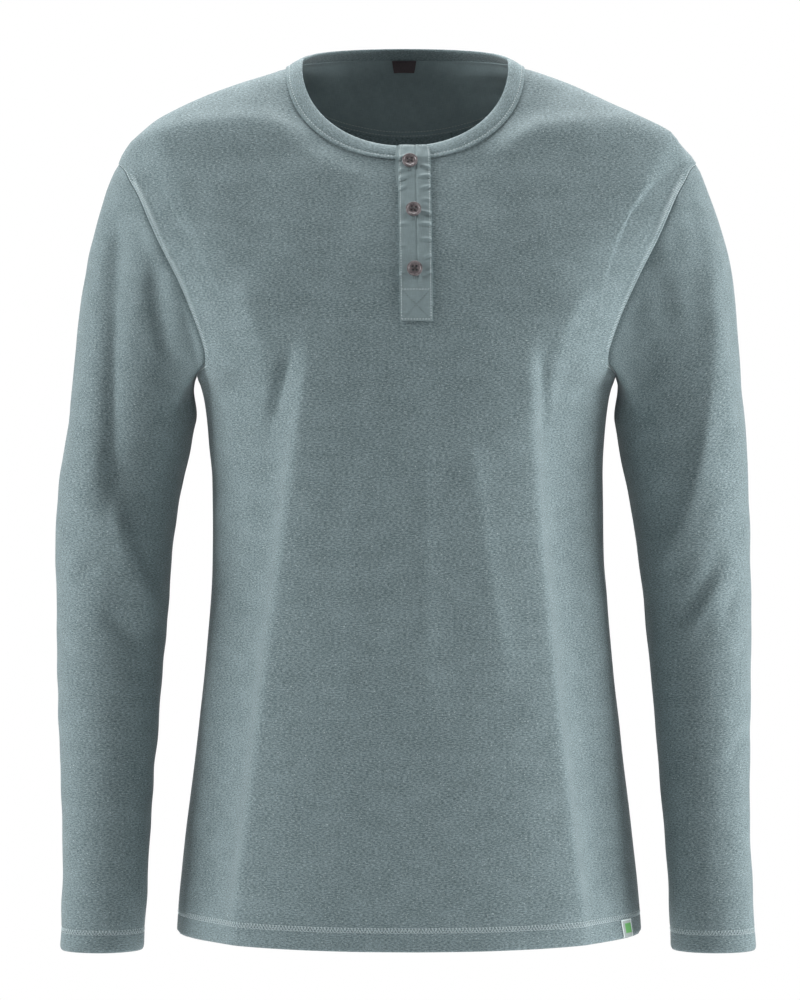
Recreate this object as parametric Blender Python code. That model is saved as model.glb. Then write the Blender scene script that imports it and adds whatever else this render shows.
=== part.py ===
"""Long-sleeved henley shirt in the shape it keeps when it is filled out, with no wearer inside.

Every cut piece is one closed wall of cloth: front, back, two sleeves, neckband, the half
moon inside the back neck, the two placket strips and the labels. Three buttons close it.
Tables and sizes are in millimetres, and points turn into metres where a mesh is made. The
wearer faces -Y, +Z is up, and the origin lies midway between the high points of the
shoulders.
"""

from collections import namedtuple
import math

import bmesh
import bpy
import numpy as np

MM = 0.001

# Cloth
WALL = 1.5
TURNED_WALL = 2.7
SEAM_GAP = 0.3

# Body lengths and seams
HEM_Z = -700.0
HEM_SIDE_RISE = 3.5
HEM_TURN = 18.0
HEM_STEP = 3.0
NECK_HALF_WIDTH = 98.0
NECK_SIDE_Z = -5.0
NECK_FRONT_DROP = 79.5
NECK_BACK_RISE = 11.0
NECK_ROUNDNESS = 2.15
NAPE_ROUNDNESS = 0.62
SHOULDER_TIP_Z = -85.0
UNDERARM_Z = -252.0
FRONT_CENTRE_X = 6.0

# Grid of a panel
COLUMNS = 11
SHOULDER_ROWS = 5
ARMHOLE_ROWS = 11
SIDE_ROWS = 12
SLIT_COLUMN_SHARE = 0.064
SLIT_HALF_WIDTH = 8.5
SLIT_ROWS = 8
FRONT_ROW_STEP = 12.9
BACK_ROW_STEP = 16.8
SEAM_FADE_CELLS = 3.0
SEAM_SAMPLES = 60

# Sleeve
BICEP_Z = -290.0
CUFF_Z = -708.0
CUFF_TURN = 17.5
CAP_RINGS = 6
ARM_RINGS = 15
SLEEVE_ROUNDNESS = 2.1
ARMHOLE_OUTWARD = (0.93, 0.0, -0.36)
ARMHOLE_HALF_HEIGHT = 90.0
ARMHOLE_HALF_DEPTH = 60.0
SLEEVE_SEAM_CLEARANCE = 0.55
CAP_OUTWARD_SHARE = 0.3
BELOW_BICEP = 5.0
TWIST_LENGTH = 160.0

# Neckband
BAND_WIDTH = 14.0
BAND_PROUD = 0.4
BAND_WALL = 2.2
BAND_CLEARANCE = 0.45
BAND_RISE = 0.62
BAND_RISE_FRONT = 0.16
BAND_RISE_BACK = 0.10
BAND_LIE_SHOULDER = 0.14
NECK_HALF_DEPTH = 75.0

# Placket
PLACKET_WIDTH = 25.0
PLACKET_TOP_X = 4.8
PLACKET_BOTTOM_X = 6.8
PLACKET_BOTTOM_Z = -213.0
PLACKET_TOP_RISE = 12.4
PLACKET_ROWS = 14
PLACKET_COLUMNS = 4
OVER_LIFT = 0.9
OVER_WALL = 1.3
UNDER_SINK = 2.4
UNDER_WALL = 1.2
UNDER_INSET = 2.0
UNDER_TOP_INSET = 1.0

# Buttons
BUTTON_DIAMETER = 12.0
BUTTON_THICKNESS = 2.6
BUTTON_HOLE_DIAMETER = 1.7
BUTTON_HOLE_SPACING = 2.9
BUTTON_HOLE_OVERRUN = 1.0
BUTTON_LIFT = 0.35
BUTTON_SIDES = 20
BUTTON_HOLE_SIDES = 8

# The turned outline of a button, from its back's centre round its rim to its dished
# middle, in shares of its radius and of its thickness
Turned = namedtuple("Turned", "radius height")
BUTTON_OUTLINE = [
    Turned(0.00, 0.00),
    Turned(0.62, 0.00),
    Turned(0.93, 0.30),
    Turned(1.00, 0.62),
    Turned(0.94, 0.93),
    Turned(0.84, 1.00),
    Turned(0.62, 0.89),
    Turned(0.49, 0.69),
    Turned(0.00, 0.69),
]

# Where each button sits on the placket
Button = namedtuple("Button", "x z")
BUTTONS = [Button(1.3, -85.6), Button(4.1, -126.0), Button(4.9, -173.1)]

# Half moon inside the back neck
FACING_DEPTH = 56.0
FACING_HALF_WIDTH = 95.0
FACING_TOP_GAP = 0.6
FACING_ROWS = 8
FACING_WALL = 1.0
FACING_CLEARANCE = 0.5

# Labels
NECK_LABEL_WIDTH = 17.0
NECK_LABEL_LENGTH = 10.5
NECK_LABEL_COLUMNS = 5
NECK_LABEL_ROWS = 4
NECK_LABEL_WALL = 1.0
NECK_LABEL_CLEARANCE = 0.4
NECK_LABEL_X = -3.0
NECK_LABEL_TAPER = 0.1
NECK_LABEL_HANG = 1.6
NECK_LABEL_DROP = 0.8
HEM_LABEL_WIDTH = 16.0
HEM_LABEL_HEIGHT = 14.0
HEM_LABEL_WALL = 0.8
HEM_LABEL_CLEARANCE = 0.4
HEM_LABEL_COLUMN = 2

Section = namedtuple(
    "Section", "z half_width front_depth back_depth centre_x centre_y squareness"
)
BODY_SECTIONS = [
    Section(22, 60, 24, 58, -1.0, 8.0, 2.10),
    Section(7, 82, 26, 62, -1.0, 8.0, 2.10),
    Section(0, 91, 27, 66, -1.0, 8.0, 2.10),
    Section(-5, 98, 28, 69, -1.0, 8.0, 2.10),
    Section(-10, 107.5, 31, 72, -1.5, 8.0, 2.10),
    Section(-19, 134, 37, 77, -3.5, 8.0, 2.10),
    Section(-29, 158, 43, 81, -6.0, 7.5, 2.10),
    Section(-38.5, 177.5, 49, 85, -6.5, 7.0, 2.10),
    Section(-48, 194.5, 55, 88, -6.5, 7.0, 2.10),
    Section(-58, 208.8, 61, 91, -5.0, 6.5, 2.12),
    Section(-67, 220.4, 65.5, 94, -3.2, 6.0, 2.14),
    Section(-77, 229, 70, 97, -1.2, 6.0, 2.16),
    Section(-85, 233.5, 74, 100, -0.5, 6.0, 2.18),
    Section(-100, 237, 82, 104, -0.5, 5.0, 2.20),
    Section(-116, 237, 90, 108, -0.5, 4.5, 2.22),
    Section(-143, 227, 103, 112, -0.5, 3.5, 2.28),
    Section(-165, 210, 111, 114, -0.5, 2.5, 2.34),
    Section(-183, 199, 116, 115, -0.5, 2.0, 2.38),
    Section(-206, 185, 121, 116, -1.0, 1.0, 2.44),
    Section(-228, 174.5, 124, 116, -1.0, 0.5, 2.48),
    Section(-252, 167, 125, 114, -1.2, 0.0, 2.50),
    Section(-272, 161.5, 124.5, 112, -1.2, 0.0, 2.48),
    Section(-304, 158, 122.5, 108, -1.2, 0.0, 2.44),
    Section(-336, 156, 120, 104.5, -0.4, 0.0, 2.40),
    Section(-368, 156, 118, 101, 0.0, 0.0, 2.36),
    Section(-400, 156.4, 116.5, 98, 0.2, 0.0, 2.34),
    Section(-432, 158.4, 116, 97, 0.8, 0.0, 2.34),
    Section(-464, 161, 116, 99, 0.8, 0.0, 2.34),
    Section(-496, 164, 117, 103, 0.8, 0.0, 2.34),
    Section(-528, 167.6, 118.5, 108, 1.0, 0.0, 2.34),
    Section(-560, 171.2, 120, 113, 0.8, 0.0, 2.34),
    Section(-592, 175.2, 122, 117, 0.8, 0.0, 2.34),
    Section(-624, 179, 124, 121, 0.6, 0.0, 2.34),
    Section(-656, 182.4, 126, 124, 0.8, 0.0, 2.34),
    Section(-688, 185, 127.5, 126, 0.8, 0.0, 2.34),
    Section(-720, 187, 128.5, 127, 0.8, 0.0, 2.34),
]

ArmholePoint = namedtuple("ArmholePoint", "x z")
ARMHOLE_FRONT = [
    ArmholePoint(212, -116),
    ArmholePoint(199, -143),
    ArmholePoint(188, -165),
    ArmholePoint(179, -183),
    ArmholePoint(169, -206),
    ArmholePoint(161, -228),
    ArmholePoint(158.5, -239),
    ArmholePoint(160.5, -247),
]
ARMHOLE_BACK = [
    ArmholePoint(218, -116),
    ArmholePoint(205, -143),
    ArmholePoint(193, -165),
    ArmholePoint(183, -185),
    ArmholePoint(174, -206),
    ArmholePoint(166, -228),
    ArmholePoint(163, -240),
]

SleeveSection = namedtuple(
    "SleeveSection", "z left_x left_half right_x right_half centre_y half_depth"
)
SLEEVE_SECTIONS = [
    SleeveSection(-272, 218.0, 51.6, 214.4, 51.2, 3.5, 61.5),
    SleeveSection(-304, 222.8, 50.8, 218.8, 50.8, 4.5, 60.0),
    SleeveSection(-336, 228.8, 49.6, 222.8, 48.4, 5.0, 58.0),
    SleeveSection(-368, 233.2, 47.6, 226.8, 46.0, 5.0, 55.5),
    SleeveSection(-400, 235.6, 46.0, 229.2, 44.4, 4.5, 53.0),
    SleeveSection(-432, 236.4, 44.4, 231.6, 42.8, 3.0, 50.5),
    SleeveSection(-464, 237.2, 43.2, 232.8, 41.4, 0.0, 47.5),
    SleeveSection(-496, 238.4, 41.6, 234.0, 39.6, -4.0, 45.0),
    SleeveSection(-528, 238.6, 39.8, 235.1, 38.0, -8.5, 42.5),
    SleeveSection(-560, 239.1, 37.7, 235.8, 36.4, -13.0, 40.5),
    SleeveSection(-592, 239.6, 36.0, 236.8, 34.9, -17.5, 38.5),
    SleeveSection(-624, 239.8, 34.6, 238.1, 34.0, -21.5, 36.5),
    SleeveSection(-656, 240.6, 33.7, 239.8, 33.6, -25.0, 35.0),
    SleeveSection(-688, 241.7, 33.4, 241.1, 33.6, -28.0, 34.0),
    SleeveSection(-712, 242.5, 33.0, 242.1, 34.0, -30.0, 33.5),
]

# A fold runs from its start past its bend to its end, as seen from the front. Facing is
# -1 on the front of the shirt and +1 on its back. A ridge stands proud by its height, a
# trough has a negative height, and a ledge raises what lies on the inner side of it.
FOLD_SAMPLES = 16
FOLD_END_SHARE = 0.45
FOLD_FACING = 1.2
LEDGE_SLOPE = 0.45
LEDGE_REACH = 90.0
Fold = namedtuple(
    "Fold",
    "kind facing start_x start_z bend_x bend_z end_x end_z half_width height",
)
BODY_FOLDS = [
    Fold("ledge", -1, -82, -170, -94, -340, -122, -540, 14, 5.0),
    Fold("ledge", -1, 96, -170, 106, -340, 130, -580, 14, 5.5),
    Fold("trough", -1, -104, -244, -112, -268, -128, -300, 9, -4.0),
    Fold("trough", -1, 106, -242, 114, -268, 132, -302, 9, -4.0),
    Fold("ridge", -1, -30, -270, -26, -380, -20, -490, 14, 2.0),
    Fold("ridge", -1, 56, -290, 66, -380, 84, -490, 14, 2.2),
    Fold("trough", 1, -70, -300, -50, -400, -62, -540, 20, -4.0),
    Fold("trough", 1, 76, -290, 58, -395, 66, -560, 20, -4.5),
    Fold("ridge", 1, -110, -250, -92, -380, -112, -520, 22, 4.0),
    Fold("ridge", 1, 116, -260, 96, -385, 114, -530, 22, 4.0),
    Fold("trough", 1, -150, -230, -120, -190, -80, -160, 16, -3.0),
    Fold("trough", 1, 150, -232, 118, -196, 82, -170, 16, -3.0),
]
LEFT_SLEEVE_FOLDS = [
    Fold("trough", -1, -226, -175, -240, -330, -206, -440, 13, -5.0),
    Fold("trough", -1, -280, -398, -258, -412, -236, -406, 9, -3.5),
    Fold("trough", -1, -262, -452, -236, -440, -204, -468, 11, -3.5),
    Fold("trough", 1, -200, -300, -226, -360, -268, -402, 13, -4.0),
    Fold("trough", 1, -204, -470, -232, -440, -272, -432, 12, -3.5),
]
RIGHT_SLEEVE_FOLDS = [
    Fold("trough", -1, 222, -230, 230, -330, 196, -412, 13, -5.0),
    Fold("trough", -1, 262, -378, 240, -424, 206, -446, 12, -4.0),
    Fold("trough", -1, 264, -546, 250, -566, 232, -586, 9, -3.0),
    Fold("trough", 1, 198, -296, 224, -352, 262, -392, 13, -4.0),
    Fold("trough", 1, 202, -462, 230, -436, 266, -428, 12, -3.5),
]


# ---- numbers and curves ------------------------------------------------------------


def smooth_table(places, values, at):
    """Reads a shape-keeping cubic through (places, values) at any array of places."""
    order = np.argsort(places)
    x = np.asarray(places, float)[order]
    y = np.asarray(values, float)[order]
    at = np.clip(np.asarray(at, float), x[0], x[-1])
    step = np.diff(x)
    rise = np.diff(y) / step
    slope = np.empty_like(y)
    slope[0] = rise[0]
    slope[-1] = rise[-1]
    before, after = rise[:-1], rise[1:]
    weight_a = 2 * step[1:] + step[:-1]
    weight_b = step[1:] + 2 * step[:-1]
    same = before * after > 0
    safe_before = np.where(same, before, 1.0)
    safe_after = np.where(same, after, 1.0)
    mean = (weight_a + weight_b) / (weight_a / safe_before + weight_b / safe_after)
    slope[1:-1] = np.where(same, mean, 0.0)
    cell = np.clip(np.searchsorted(x, at, side="right") - 1, 0, len(step) - 1)
    t = (at - x[cell]) / step[cell]
    h = step[cell]
    return (
        y[cell] * (2 * t**3 - 3 * t**2 + 1)
        + slope[cell] * h * (t**3 - 2 * t**2 + t)
        + y[cell + 1] * (3 * t**2 - 2 * t**3)
        + slope[cell + 1] * h * (t**3 - t**2)
    )


def column(table, name, at):
    """One named column of a table with a z column, read smoothly at the heights given."""
    return smooth_table([row.z for row in table], [getattr(row, name) for row in table], at)


def resample(points, count, share=None):
    """Points spaced evenly along a polyline, or at the given shares of its length."""
    points = np.asarray(points, float)
    along = np.concatenate([[0.0], np.cumsum(np.linalg.norm(np.diff(points, axis=0), axis=1))])
    wanted = np.linspace(0, 1, count) if share is None else np.asarray(share)
    return np.stack([np.interp(wanted * along[-1], along, points[:, k]) for k in range(3)], 1)


def curve_through(points, per_span=12):
    """A Catmull-Rom curve through the points, as a fine polyline."""
    points = np.asarray(points, float)
    ends = np.vstack([2 * points[0] - points[1], points, 2 * points[-1] - points[-2]])
    out = []
    for a, b, c, d in zip(ends, ends[1:], ends[2:], ends[3:]):
        for t in np.arange(per_span) / per_span:
            out.append(
                0.5
                * (
                    2 * b
                    + (c - a) * t
                    + (2 * a - 5 * b + 4 * c - d) * t**2
                    + (3 * b - 3 * c + d - a) * t**3
                )
            )
    out.append(points[-1])
    return np.array(out)


def soft_step(value):
    """0 below 0, 1 above 1, with a smooth rise between them."""
    t = np.clip(value, 0.0, 1.0)
    return t * t * (3 - 2 * t)


def unit(vectors):
    """Vectors scaled to length one."""
    vectors = np.asarray(vectors, float)
    return vectors / np.maximum(np.linalg.norm(vectors, axis=-1, keepdims=True), 1e-9)


# ---- the body's form ---------------------------------------------------------------


def body_level(points):
    """0 on the body's form, below 0 inside it. Each height has a squared-off ellipse."""
    x, y, z = points[..., 0], points[..., 1], points[..., 2]
    middle_y = column(BODY_SECTIONS, "centre_y", z)
    back = column(BODY_SECTIONS, "back_depth", z)
    front = column(BODY_SECTIONS, "front_depth", z)
    depth = np.where(y > middle_y, back, front)
    power = column(BODY_SECTIONS, "squareness", z)
    across = np.abs(x - column(BODY_SECTIONS, "centre_x", z))
    return (
        (across / column(BODY_SECTIONS, "half_width", z)) ** power
        + (np.abs(y - middle_y) / depth) ** power
        - 1
    )


def body_slope(points, reach=0.05):
    """The gradient of the body's form."""
    slope = np.empty_like(points)
    for axis in range(3):
        shift = np.zeros(3)
        shift[axis] = reach
        slope[..., axis] = (body_level(points + shift) - body_level(points - shift)) / (2 * reach)
    return slope


def onto_body(points, rounds=14):
    """Moves points along the form's gradient until they lie on it."""
    points = np.array(points, float)
    for _ in range(rounds):
        slope = body_slope(points)
        size = np.maximum((slope**2).sum(-1, keepdims=True), 1e-9)
        move = body_level(points)[..., None] * slope / size
        length = np.linalg.norm(move, axis=-1, keepdims=True)
        points -= move * np.minimum(1.0, 12.0 / np.maximum(length, 1e-9))
    return points


def on_body(x, z, facing):
    """The point of the form at (x, z), on its front (-1) or its back (+1)."""
    x, z = np.broadcast_arrays(np.asarray(x, float), np.asarray(z, float))
    name = "back_depth" if facing > 0 else "front_depth"
    power = column(BODY_SECTIONS, "squareness", z)
    half_width = column(BODY_SECTIONS, "half_width", z)
    across = np.abs(x - column(BODY_SECTIONS, "centre_x", z)) / half_width
    share = np.clip(1 - across**power, 0, 1) ** (1 / power)
    depth = column(BODY_SECTIONS, name, z) * share
    return np.stack([x, column(BODY_SECTIONS, "centre_y", z) + facing * depth, z], -1)


def body_edge_x(z, half):
    """How far the form reaches to the left (-1) or the right (+1) at height z."""
    reach = column(BODY_SECTIONS, "half_width", z)
    return column(BODY_SECTIONS, "centre_x", z) + half * reach


# ---- folds -------------------------------------------------------------------------


def fold_path(fold, count=FOLD_SAMPLES):
    """The fold's line as a polyline in (x, z)."""
    t = np.linspace(0, 1, count)[:, None]
    start = np.array([fold.start_x, fold.start_z])
    middle = np.array([fold.bend_x, fold.bend_z])
    end = np.array([fold.end_x, fold.end_z])
    bend = 2 * middle - 0.5 * (start + end)
    return (1 - t) ** 2 * start + 2 * t * (1 - t) * bend + t**2 * end


def fold_height(fold, x, z):
    """How far a fold lifts the cloth at each (x, z)."""
    path = fold_path(fold)
    best = np.full(x.shape, 1e9)
    share = np.zeros(x.shape)
    offside = np.zeros(x.shape)
    spans = len(path) - 1
    for k in range(spans):
        (ax, az), (bx, bz) = path[k], path[k + 1]
        length = math.hypot(bx - ax, bz - az)
        ux, uz = (bx - ax) / length, (bz - az) / length
        run = np.clip((x - ax) * ux + (z - az) * uz, 0, length)
        gap = np.hypot(x - ax - run * ux, z - az - run * uz)
        nearer = gap < best
        best = np.where(nearer, gap, best)
        share = np.where(nearer, (k + run / length) / spans, share)
        side = (x - ax - run * ux) * np.sign(fold.bend_x)
        offside = np.where(nearer, side, offside)
    ends = soft_step(share / FOLD_END_SHARE) * soft_step((1 - share) / FOLD_END_SHARE)
    if fold.kind == "ledge":
        reach = np.exp(-np.maximum(-offside, 0) / LEDGE_REACH)
        edge = 1 + np.exp(offside / (LEDGE_SLOPE * fold.half_width))
        return fold.height * ends * reach / edge
    return fold.height * ends * np.exp(-((best / fold.half_width) ** 2))


def fold_relief(folds, points, normals):
    """The summed lift of all folds, each only on the side of the garment that it is on."""
    relief = np.zeros(points.shape[:-1])
    for fold in folds:
        facing = soft_step(0.5 + FOLD_FACING * fold.facing * normals[..., 1])
        relief += facing * fold_height(fold, points[..., 0], points[..., 2])
    return relief


# ---- walls -------------------------------------------------------------------------


def grid_quads(columns, rows, closed=False, missing=()):
    """Quads of a grid of columns by rows; closed joins the last column to the first."""
    quads = []
    spans = columns if closed else columns - 1
    for i in range(spans):
        for j in range(rows - 1):
            if (i, j) not in missing:
                a = i * rows + j
                b = ((i + 1) % columns) * rows + j
                quads.append((a, b, b + 1, a + 1))
    return quads


def point_normals(points, quads):
    """Normals at the points, from the quads round each."""
    normals = np.zeros_like(points)
    for quad in quads:
        a, b, c, d = (points[k] for k in quad)
        normal = np.cross(c - a, d - b)
        for k in quad:
            normals[k] += normal
    return unit(normals)


def make_wall(name, outer, inner, quads, material):
    """A closed wall between an outer and an inner sheet, with a rim round every free edge."""
    count = len(outer)
    faces = list(quads)
    faces += [tuple(count + k for k in reversed(quad)) for quad in quads]
    edges = set()
    for quad in quads:
        for a, b in zip(quad, quad[1:] + quad[:1]):
            edges.add((a, b))
    for a, b in sorted(edges):
        if (b, a) not in edges:
            faces.append((b, a, count + a, count + b))
    used = sorted({k for face in faces for k in face})
    place = {k: i for i, k in enumerate(used)}
    points = np.vstack([outer, inner])[used] * MM
    return make_object(name, points, [[place[k] for k in face] for face in faces], material)


def make_object(name, points, faces, material):
    """A mesh object at the origin, in metres, shaded smooth with sharp rims."""
    mesh = bpy.data.meshes.new(name)
    mesh.from_pydata([tuple(point) for point in points], [], faces)
    mesh.update()
    mesh.shade_smooth()
    mesh.set_sharp_from_angle(angle=math.radians(40))
    mesh.materials.append(material)
    made = bpy.data.objects.new(name, mesh)
    bpy.context.scene.collection.objects.link(made)
    return made


def make_material(name, colour, roughness, metallic=0.0):
    """A Principled material of one colour."""
    material = bpy.data.materials.new(name)
    material.use_nodes = True
    shader = material.node_tree.nodes["Principled BSDF"]
    shader.inputs["Base Color"].default_value = (*colour, 1.0)
    shader.inputs["Roughness"].default_value = roughness
    shader.inputs["Metallic"].default_value = metallic
    return material


# ---- seams of the body -------------------------------------------------------------


def neckline(facing, half):
    """The body's neckline from the centre to the high shoulder point of one side."""
    return back_neckline(half) if facing > 0 else front_neckline(half)


def front_neckline(half, count=SEAM_SAMPLES):
    """A deep rounded curve, whose drop is measured from the high shoulder points."""
    middle = float(column(BODY_SECTIONS, "centre_x", NECK_SIDE_Z))
    lean = half * (FRONT_CENTRE_X - middle) / NECK_HALF_WIDTH
    first = math.asin(math.copysign(abs(lean) ** (NECK_ROUNDNESS / 2), lean))
    turn = np.linspace(first, math.pi / 2, count)
    sine = np.sign(np.sin(turn)) * np.abs(np.sin(turn)) ** (2 / NECK_ROUNDNESS)
    cosine = np.abs(np.cos(turn)) ** (2 / NECK_ROUNDNESS)
    cosine[-1] = 0.0
    x = middle + half * NECK_HALF_WIDTH * sine
    points = on_body(x, NECK_SIDE_Z - NECK_FRONT_DROP * cosine, -1)
    points[-1] = edge_points(half, NECK_SIDE_Z)
    return points


def back_neckline(half, count=SEAM_SAMPLES):
    """A shallow curve that rises from the high shoulder points to the nape."""
    turn = np.linspace(math.pi / 2, 0, count)
    z = NECK_SIDE_Z + NECK_BACK_RISE * np.sin(turn) ** NAPE_ROUNDNESS
    power = 2 / column(BODY_SECTIONS, "squareness", z)
    across = column(BODY_SECTIONS, "half_width", z) * np.abs(np.cos(turn)) ** power
    across[0] = 0.0
    behind = column(BODY_SECTIONS, "back_depth", z) * np.abs(np.sin(turn)) ** power
    x = column(BODY_SECTIONS, "centre_x", z) + half * across
    return np.stack([x, column(BODY_SECTIONS, "centre_y", z) + behind, z], 1)


def edge_points(half, heights):
    """Points where the form reaches furthest to one side, at the heights given."""
    z = np.asarray(heights, float)
    return np.stack([body_edge_x(z, half), column(BODY_SECTIONS, "centre_y", z), z], -1)


def shoulder_seam(half):
    """The shoulder seam from the neck to the tip, along the top of the shoulder."""
    return edge_points(half, np.linspace(NECK_SIDE_Z, SHOULDER_TIP_Z, SEAM_SAMPLES))


def armhole(facing, half):
    """One half of the armhole seam, from the shoulder tip to the underarm."""
    table = ARMHOLE_BACK if facing > 0 else ARMHOLE_FRONT
    middle = column(BODY_SECTIONS, "centre_x", [point.z for point in table])
    points = [edge_points(half, SHOULDER_TIP_Z)]
    points += [on_body(half * p.x + m, p.z, facing) for p, m in zip(table, middle)]
    points.append(edge_points(half, UNDERARM_Z))
    fine = curve_through(points)
    fine[1:-1] = onto_body(fine[1:-1])
    return resample(fine, ARMHOLE_ROWS + 1)


def hem_heights(upper_z, edge_z):
    """Heights of the rows from upper_z to a hem at edge_z, two of them at its turning."""
    turn = edge_z + HEM_TURN
    return np.array([*np.linspace(upper_z, turn + HEM_STEP, SIDE_ROWS + 1), turn, edge_z])


def side_line(half):
    """The side seam below the underarm."""
    return edge_points(half, hem_heights(UNDERARM_Z, HEM_Z + HEM_SIDE_RISE)[1:])


def outer_line(facing, half):
    """Shoulder seam, armhole and side seam in one line, a point for each row."""
    shoulder = resample(shoulder_seam(half), SHOULDER_ROWS + 1)
    hole = armhole(facing, half)
    return np.vstack([shoulder[:-1], hole[:-1], hole[-1:], side_line(half)])


def centre_line(facing, top):
    """The panel's centre line, a point for each row."""
    step = FRONT_ROW_STEP if facing < 0 else BACK_ROW_STEP
    upper_rows = SHOULDER_ROWS + ARMHOLE_ROWS
    upper = top[2] - step * np.arange(upper_rows + 1)
    z = np.concatenate([upper, hem_heights(upper[-1], HEM_Z)[1:]])
    return on_body(np.full(len(z), top[0]), z, facing)


# ---- front and back ----------------------------------------------------------------


def column_shares():
    """Where the columns of a half panel start along the neckline and end along the hem."""
    return np.concatenate([[0.0], np.linspace(SLIT_COLUMN_SHARE, 1.0, COLUMNS)])


def half_panel(facing, half):
    """A grid of points from the centre line to one side, columns first."""
    top = neckline(facing, half)
    side = outer_line(facing, half)
    centre = centre_line(facing, top[0])
    hem_x = np.linspace(centre[-1, 0], side[-1, 0], SEAM_SAMPLES)
    hem = on_body(hem_x, HEM_Z + HEM_SIDE_RISE * (hem_x / side[-1, 0]) ** 2, facing)
    hem[-1] = side[-1]
    share = column_shares()
    top = resample(top, 0, share)
    hem = resample(hem, 0, share)
    down = (centre[:, 2] - centre[0, 2]) / (centre[-1, 2] - centre[0, 2])
    u = share[:, None, None]
    v = down[None, :, None]
    corners = (
        (1 - u) * (1 - v) * centre[0]
        + u * (1 - v) * side[0]
        + (1 - u) * v * centre[-1]
        + u * v * side[-1]
    )
    grid = (
        (1 - v) * top[:, None]
        + v * hem[:, None]
        + (1 - u) * centre[None]
        + u * side[None]
        - corners
    )
    grid[1:-1, 1:-1] = onto_body(grid[1:-1, 1:-1])
    slit_x = centre[1:, 0] + half * SLIT_HALF_WIDTH
    grid[1, 1:] = on_body(slit_x, grid[1, 1:, 2], facing)
    return grid


def whole_panel(facing):
    """Both halves of a panel in one grid, with its quads facing out."""
    left = half_panel(facing, -1)
    right = half_panel(facing, 1)
    grid = np.concatenate([left[::-1], right[1:]])
    if facing > 0:
        grid = grid[::-1]
    columns, rows = grid.shape[:2]
    missing = set()
    if facing < 0:
        for j in range(SLIT_ROWS):
            missing |= {(COLUMNS - 1, j), (COLUMNS, j)}
    quads = [quad[::-1] for quad in grid_quads(columns, rows, missing=missing)]
    return grid, quads


def seam_fade(columns, rows):
    """1 inside a panel and 0 along its seams, so that folds die out before a seam."""
    across = np.minimum(np.arange(columns), np.arange(columns)[::-1]) / SEAM_FADE_CELLS
    down = np.arange(rows) / SEAM_FADE_CELLS
    return soft_step(across)[:, None] * soft_step(down)[None, :]


def panel_surface(facing):
    """A panel's outer points, the directions and depths of its wall, and its quads."""
    grid, quads = whole_panel(facing)
    columns, rows = grid.shape[:2]
    points = grid.reshape(-1, 3)
    normals = point_normals(points, quads)
    relief = fold_relief(BODY_FOLDS, points, normals)
    points = points + normals * (relief * seam_fade(columns, rows).ravel())[:, None]
    normals = point_normals(points, quads).reshape(columns, rows, 3)
    for edge in (0, -1):
        normals[edge] = unit(body_slope(grid[edge]))
    normals[:, 0] = neck_rim(grid[:, 0])
    depth = np.full((columns, rows, 1), WALL)
    depth[:, -2:] = TURNED_WALL
    points[:, 1] += facing * SEAM_GAP / 2
    return points.reshape(columns, rows, 3), normals, depth, quads


def make_panel(name, facing, material):
    """The front (-1) or the back (+1), with its hem turned up inside."""
    points, normals, depth, quads = panel_surface(facing)
    inner = points - normals * depth
    return make_wall(name, points.reshape(-1, 3), inner.reshape(-1, 3), quads, material)


def neck_rim(seam):
    """The wall's direction at the neckline, half way from the body's to the neckband's."""
    return unit(unit(body_slope(seam)) + band_out(band_lean(seam)))


# ---- neckband ----------------------------------------------------------------------


def band_lean(seam):
    """The direction in which the neckband rises from each point of the neckline."""
    middle_x = float(column(BODY_SECTIONS, "centre_x", NECK_SIDE_Z))
    middle_y = float(column(BODY_SECTIONS, "centre_y", NECK_SIDE_Z))
    towards = np.stack([middle_x - seam[:, 0], middle_y - seam[:, 1]], 1)
    share = np.clip((seam[:, 1] - middle_y) / NECK_HALF_DEPTH, -1, 1)
    aside = np.abs(seam[:, 0] - middle_x) / NECK_HALF_WIDTH
    rise = BAND_RISE + BAND_RISE_FRONT * np.maximum(-share, 0)
    rise += BAND_RISE_BACK * np.maximum(share, 0)
    rise -= BAND_LIE_SHOULDER * soft_step(aside) * (1 - np.abs(share))
    level = unit(towards) * np.sqrt(1 - rise**2)[:, None]
    return np.concatenate([level, rise[:, None]], 1)


def band_out(lean):
    """The outward direction of a neckband that leans so: lean turned up by a quarter."""
    level = np.linalg.norm(lean[:, :2], axis=1, keepdims=True)
    return np.concatenate([-lean[:, :2] / level * lean[:, 2:], level], 1)


def neck_loop():
    """The neckline's points in the panels' columns, from slit edge to slit edge."""
    shares = column_shares()
    front_left, back_left, back_right, front_right = (
        resample(neckline(facing, half), 0, shares)
        for facing, half in ((-1, -1), (1, -1), (1, 1), (-1, 1))
    )
    return np.vstack(
        [front_left[1:], back_left[::-1][1:], back_right[1:], front_right[::-1][1:-1]]
    )


def make_neckband(material):
    """A folded strip that stands on the neckline and leans in towards the neck."""
    seam = neck_loop()
    lean = band_lean(seam)
    out = band_out(lean)
    rim = neck_rim(seam)
    widths = np.array([BAND_CLEARANCE, 0.35 * BAND_WIDTH, 0.7 * BAND_WIDTH, BAND_WIDTH])
    crown = np.array([0.0, BAND_PROUD, BAND_PROUD, 0.0])
    outer, inner = [], []
    for width, proud in zip(widths, crown):
        base = seam + lean * width
        face = rim if width == BAND_CLEARANCE else out
        depth = WALL if width == BAND_CLEARANCE else BAND_WALL
        outer.append(base + out * proud)
        inner.append(base + out * proud - face * depth)
    outer = np.stack(outer, 1).reshape(-1, 3)
    inner = np.stack(inner, 1).reshape(-1, 3)
    quads = grid_quads(len(seam), len(widths))
    if (point_normals(outer, quads) * np.repeat(out, len(widths), 0)).sum() < 0:
        quads = [quad[::-1] for quad in quads]
    return make_wall("neckband", outer, inner, quads, material)


# ---- sleeves -----------------------------------------------------------------------


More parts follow.
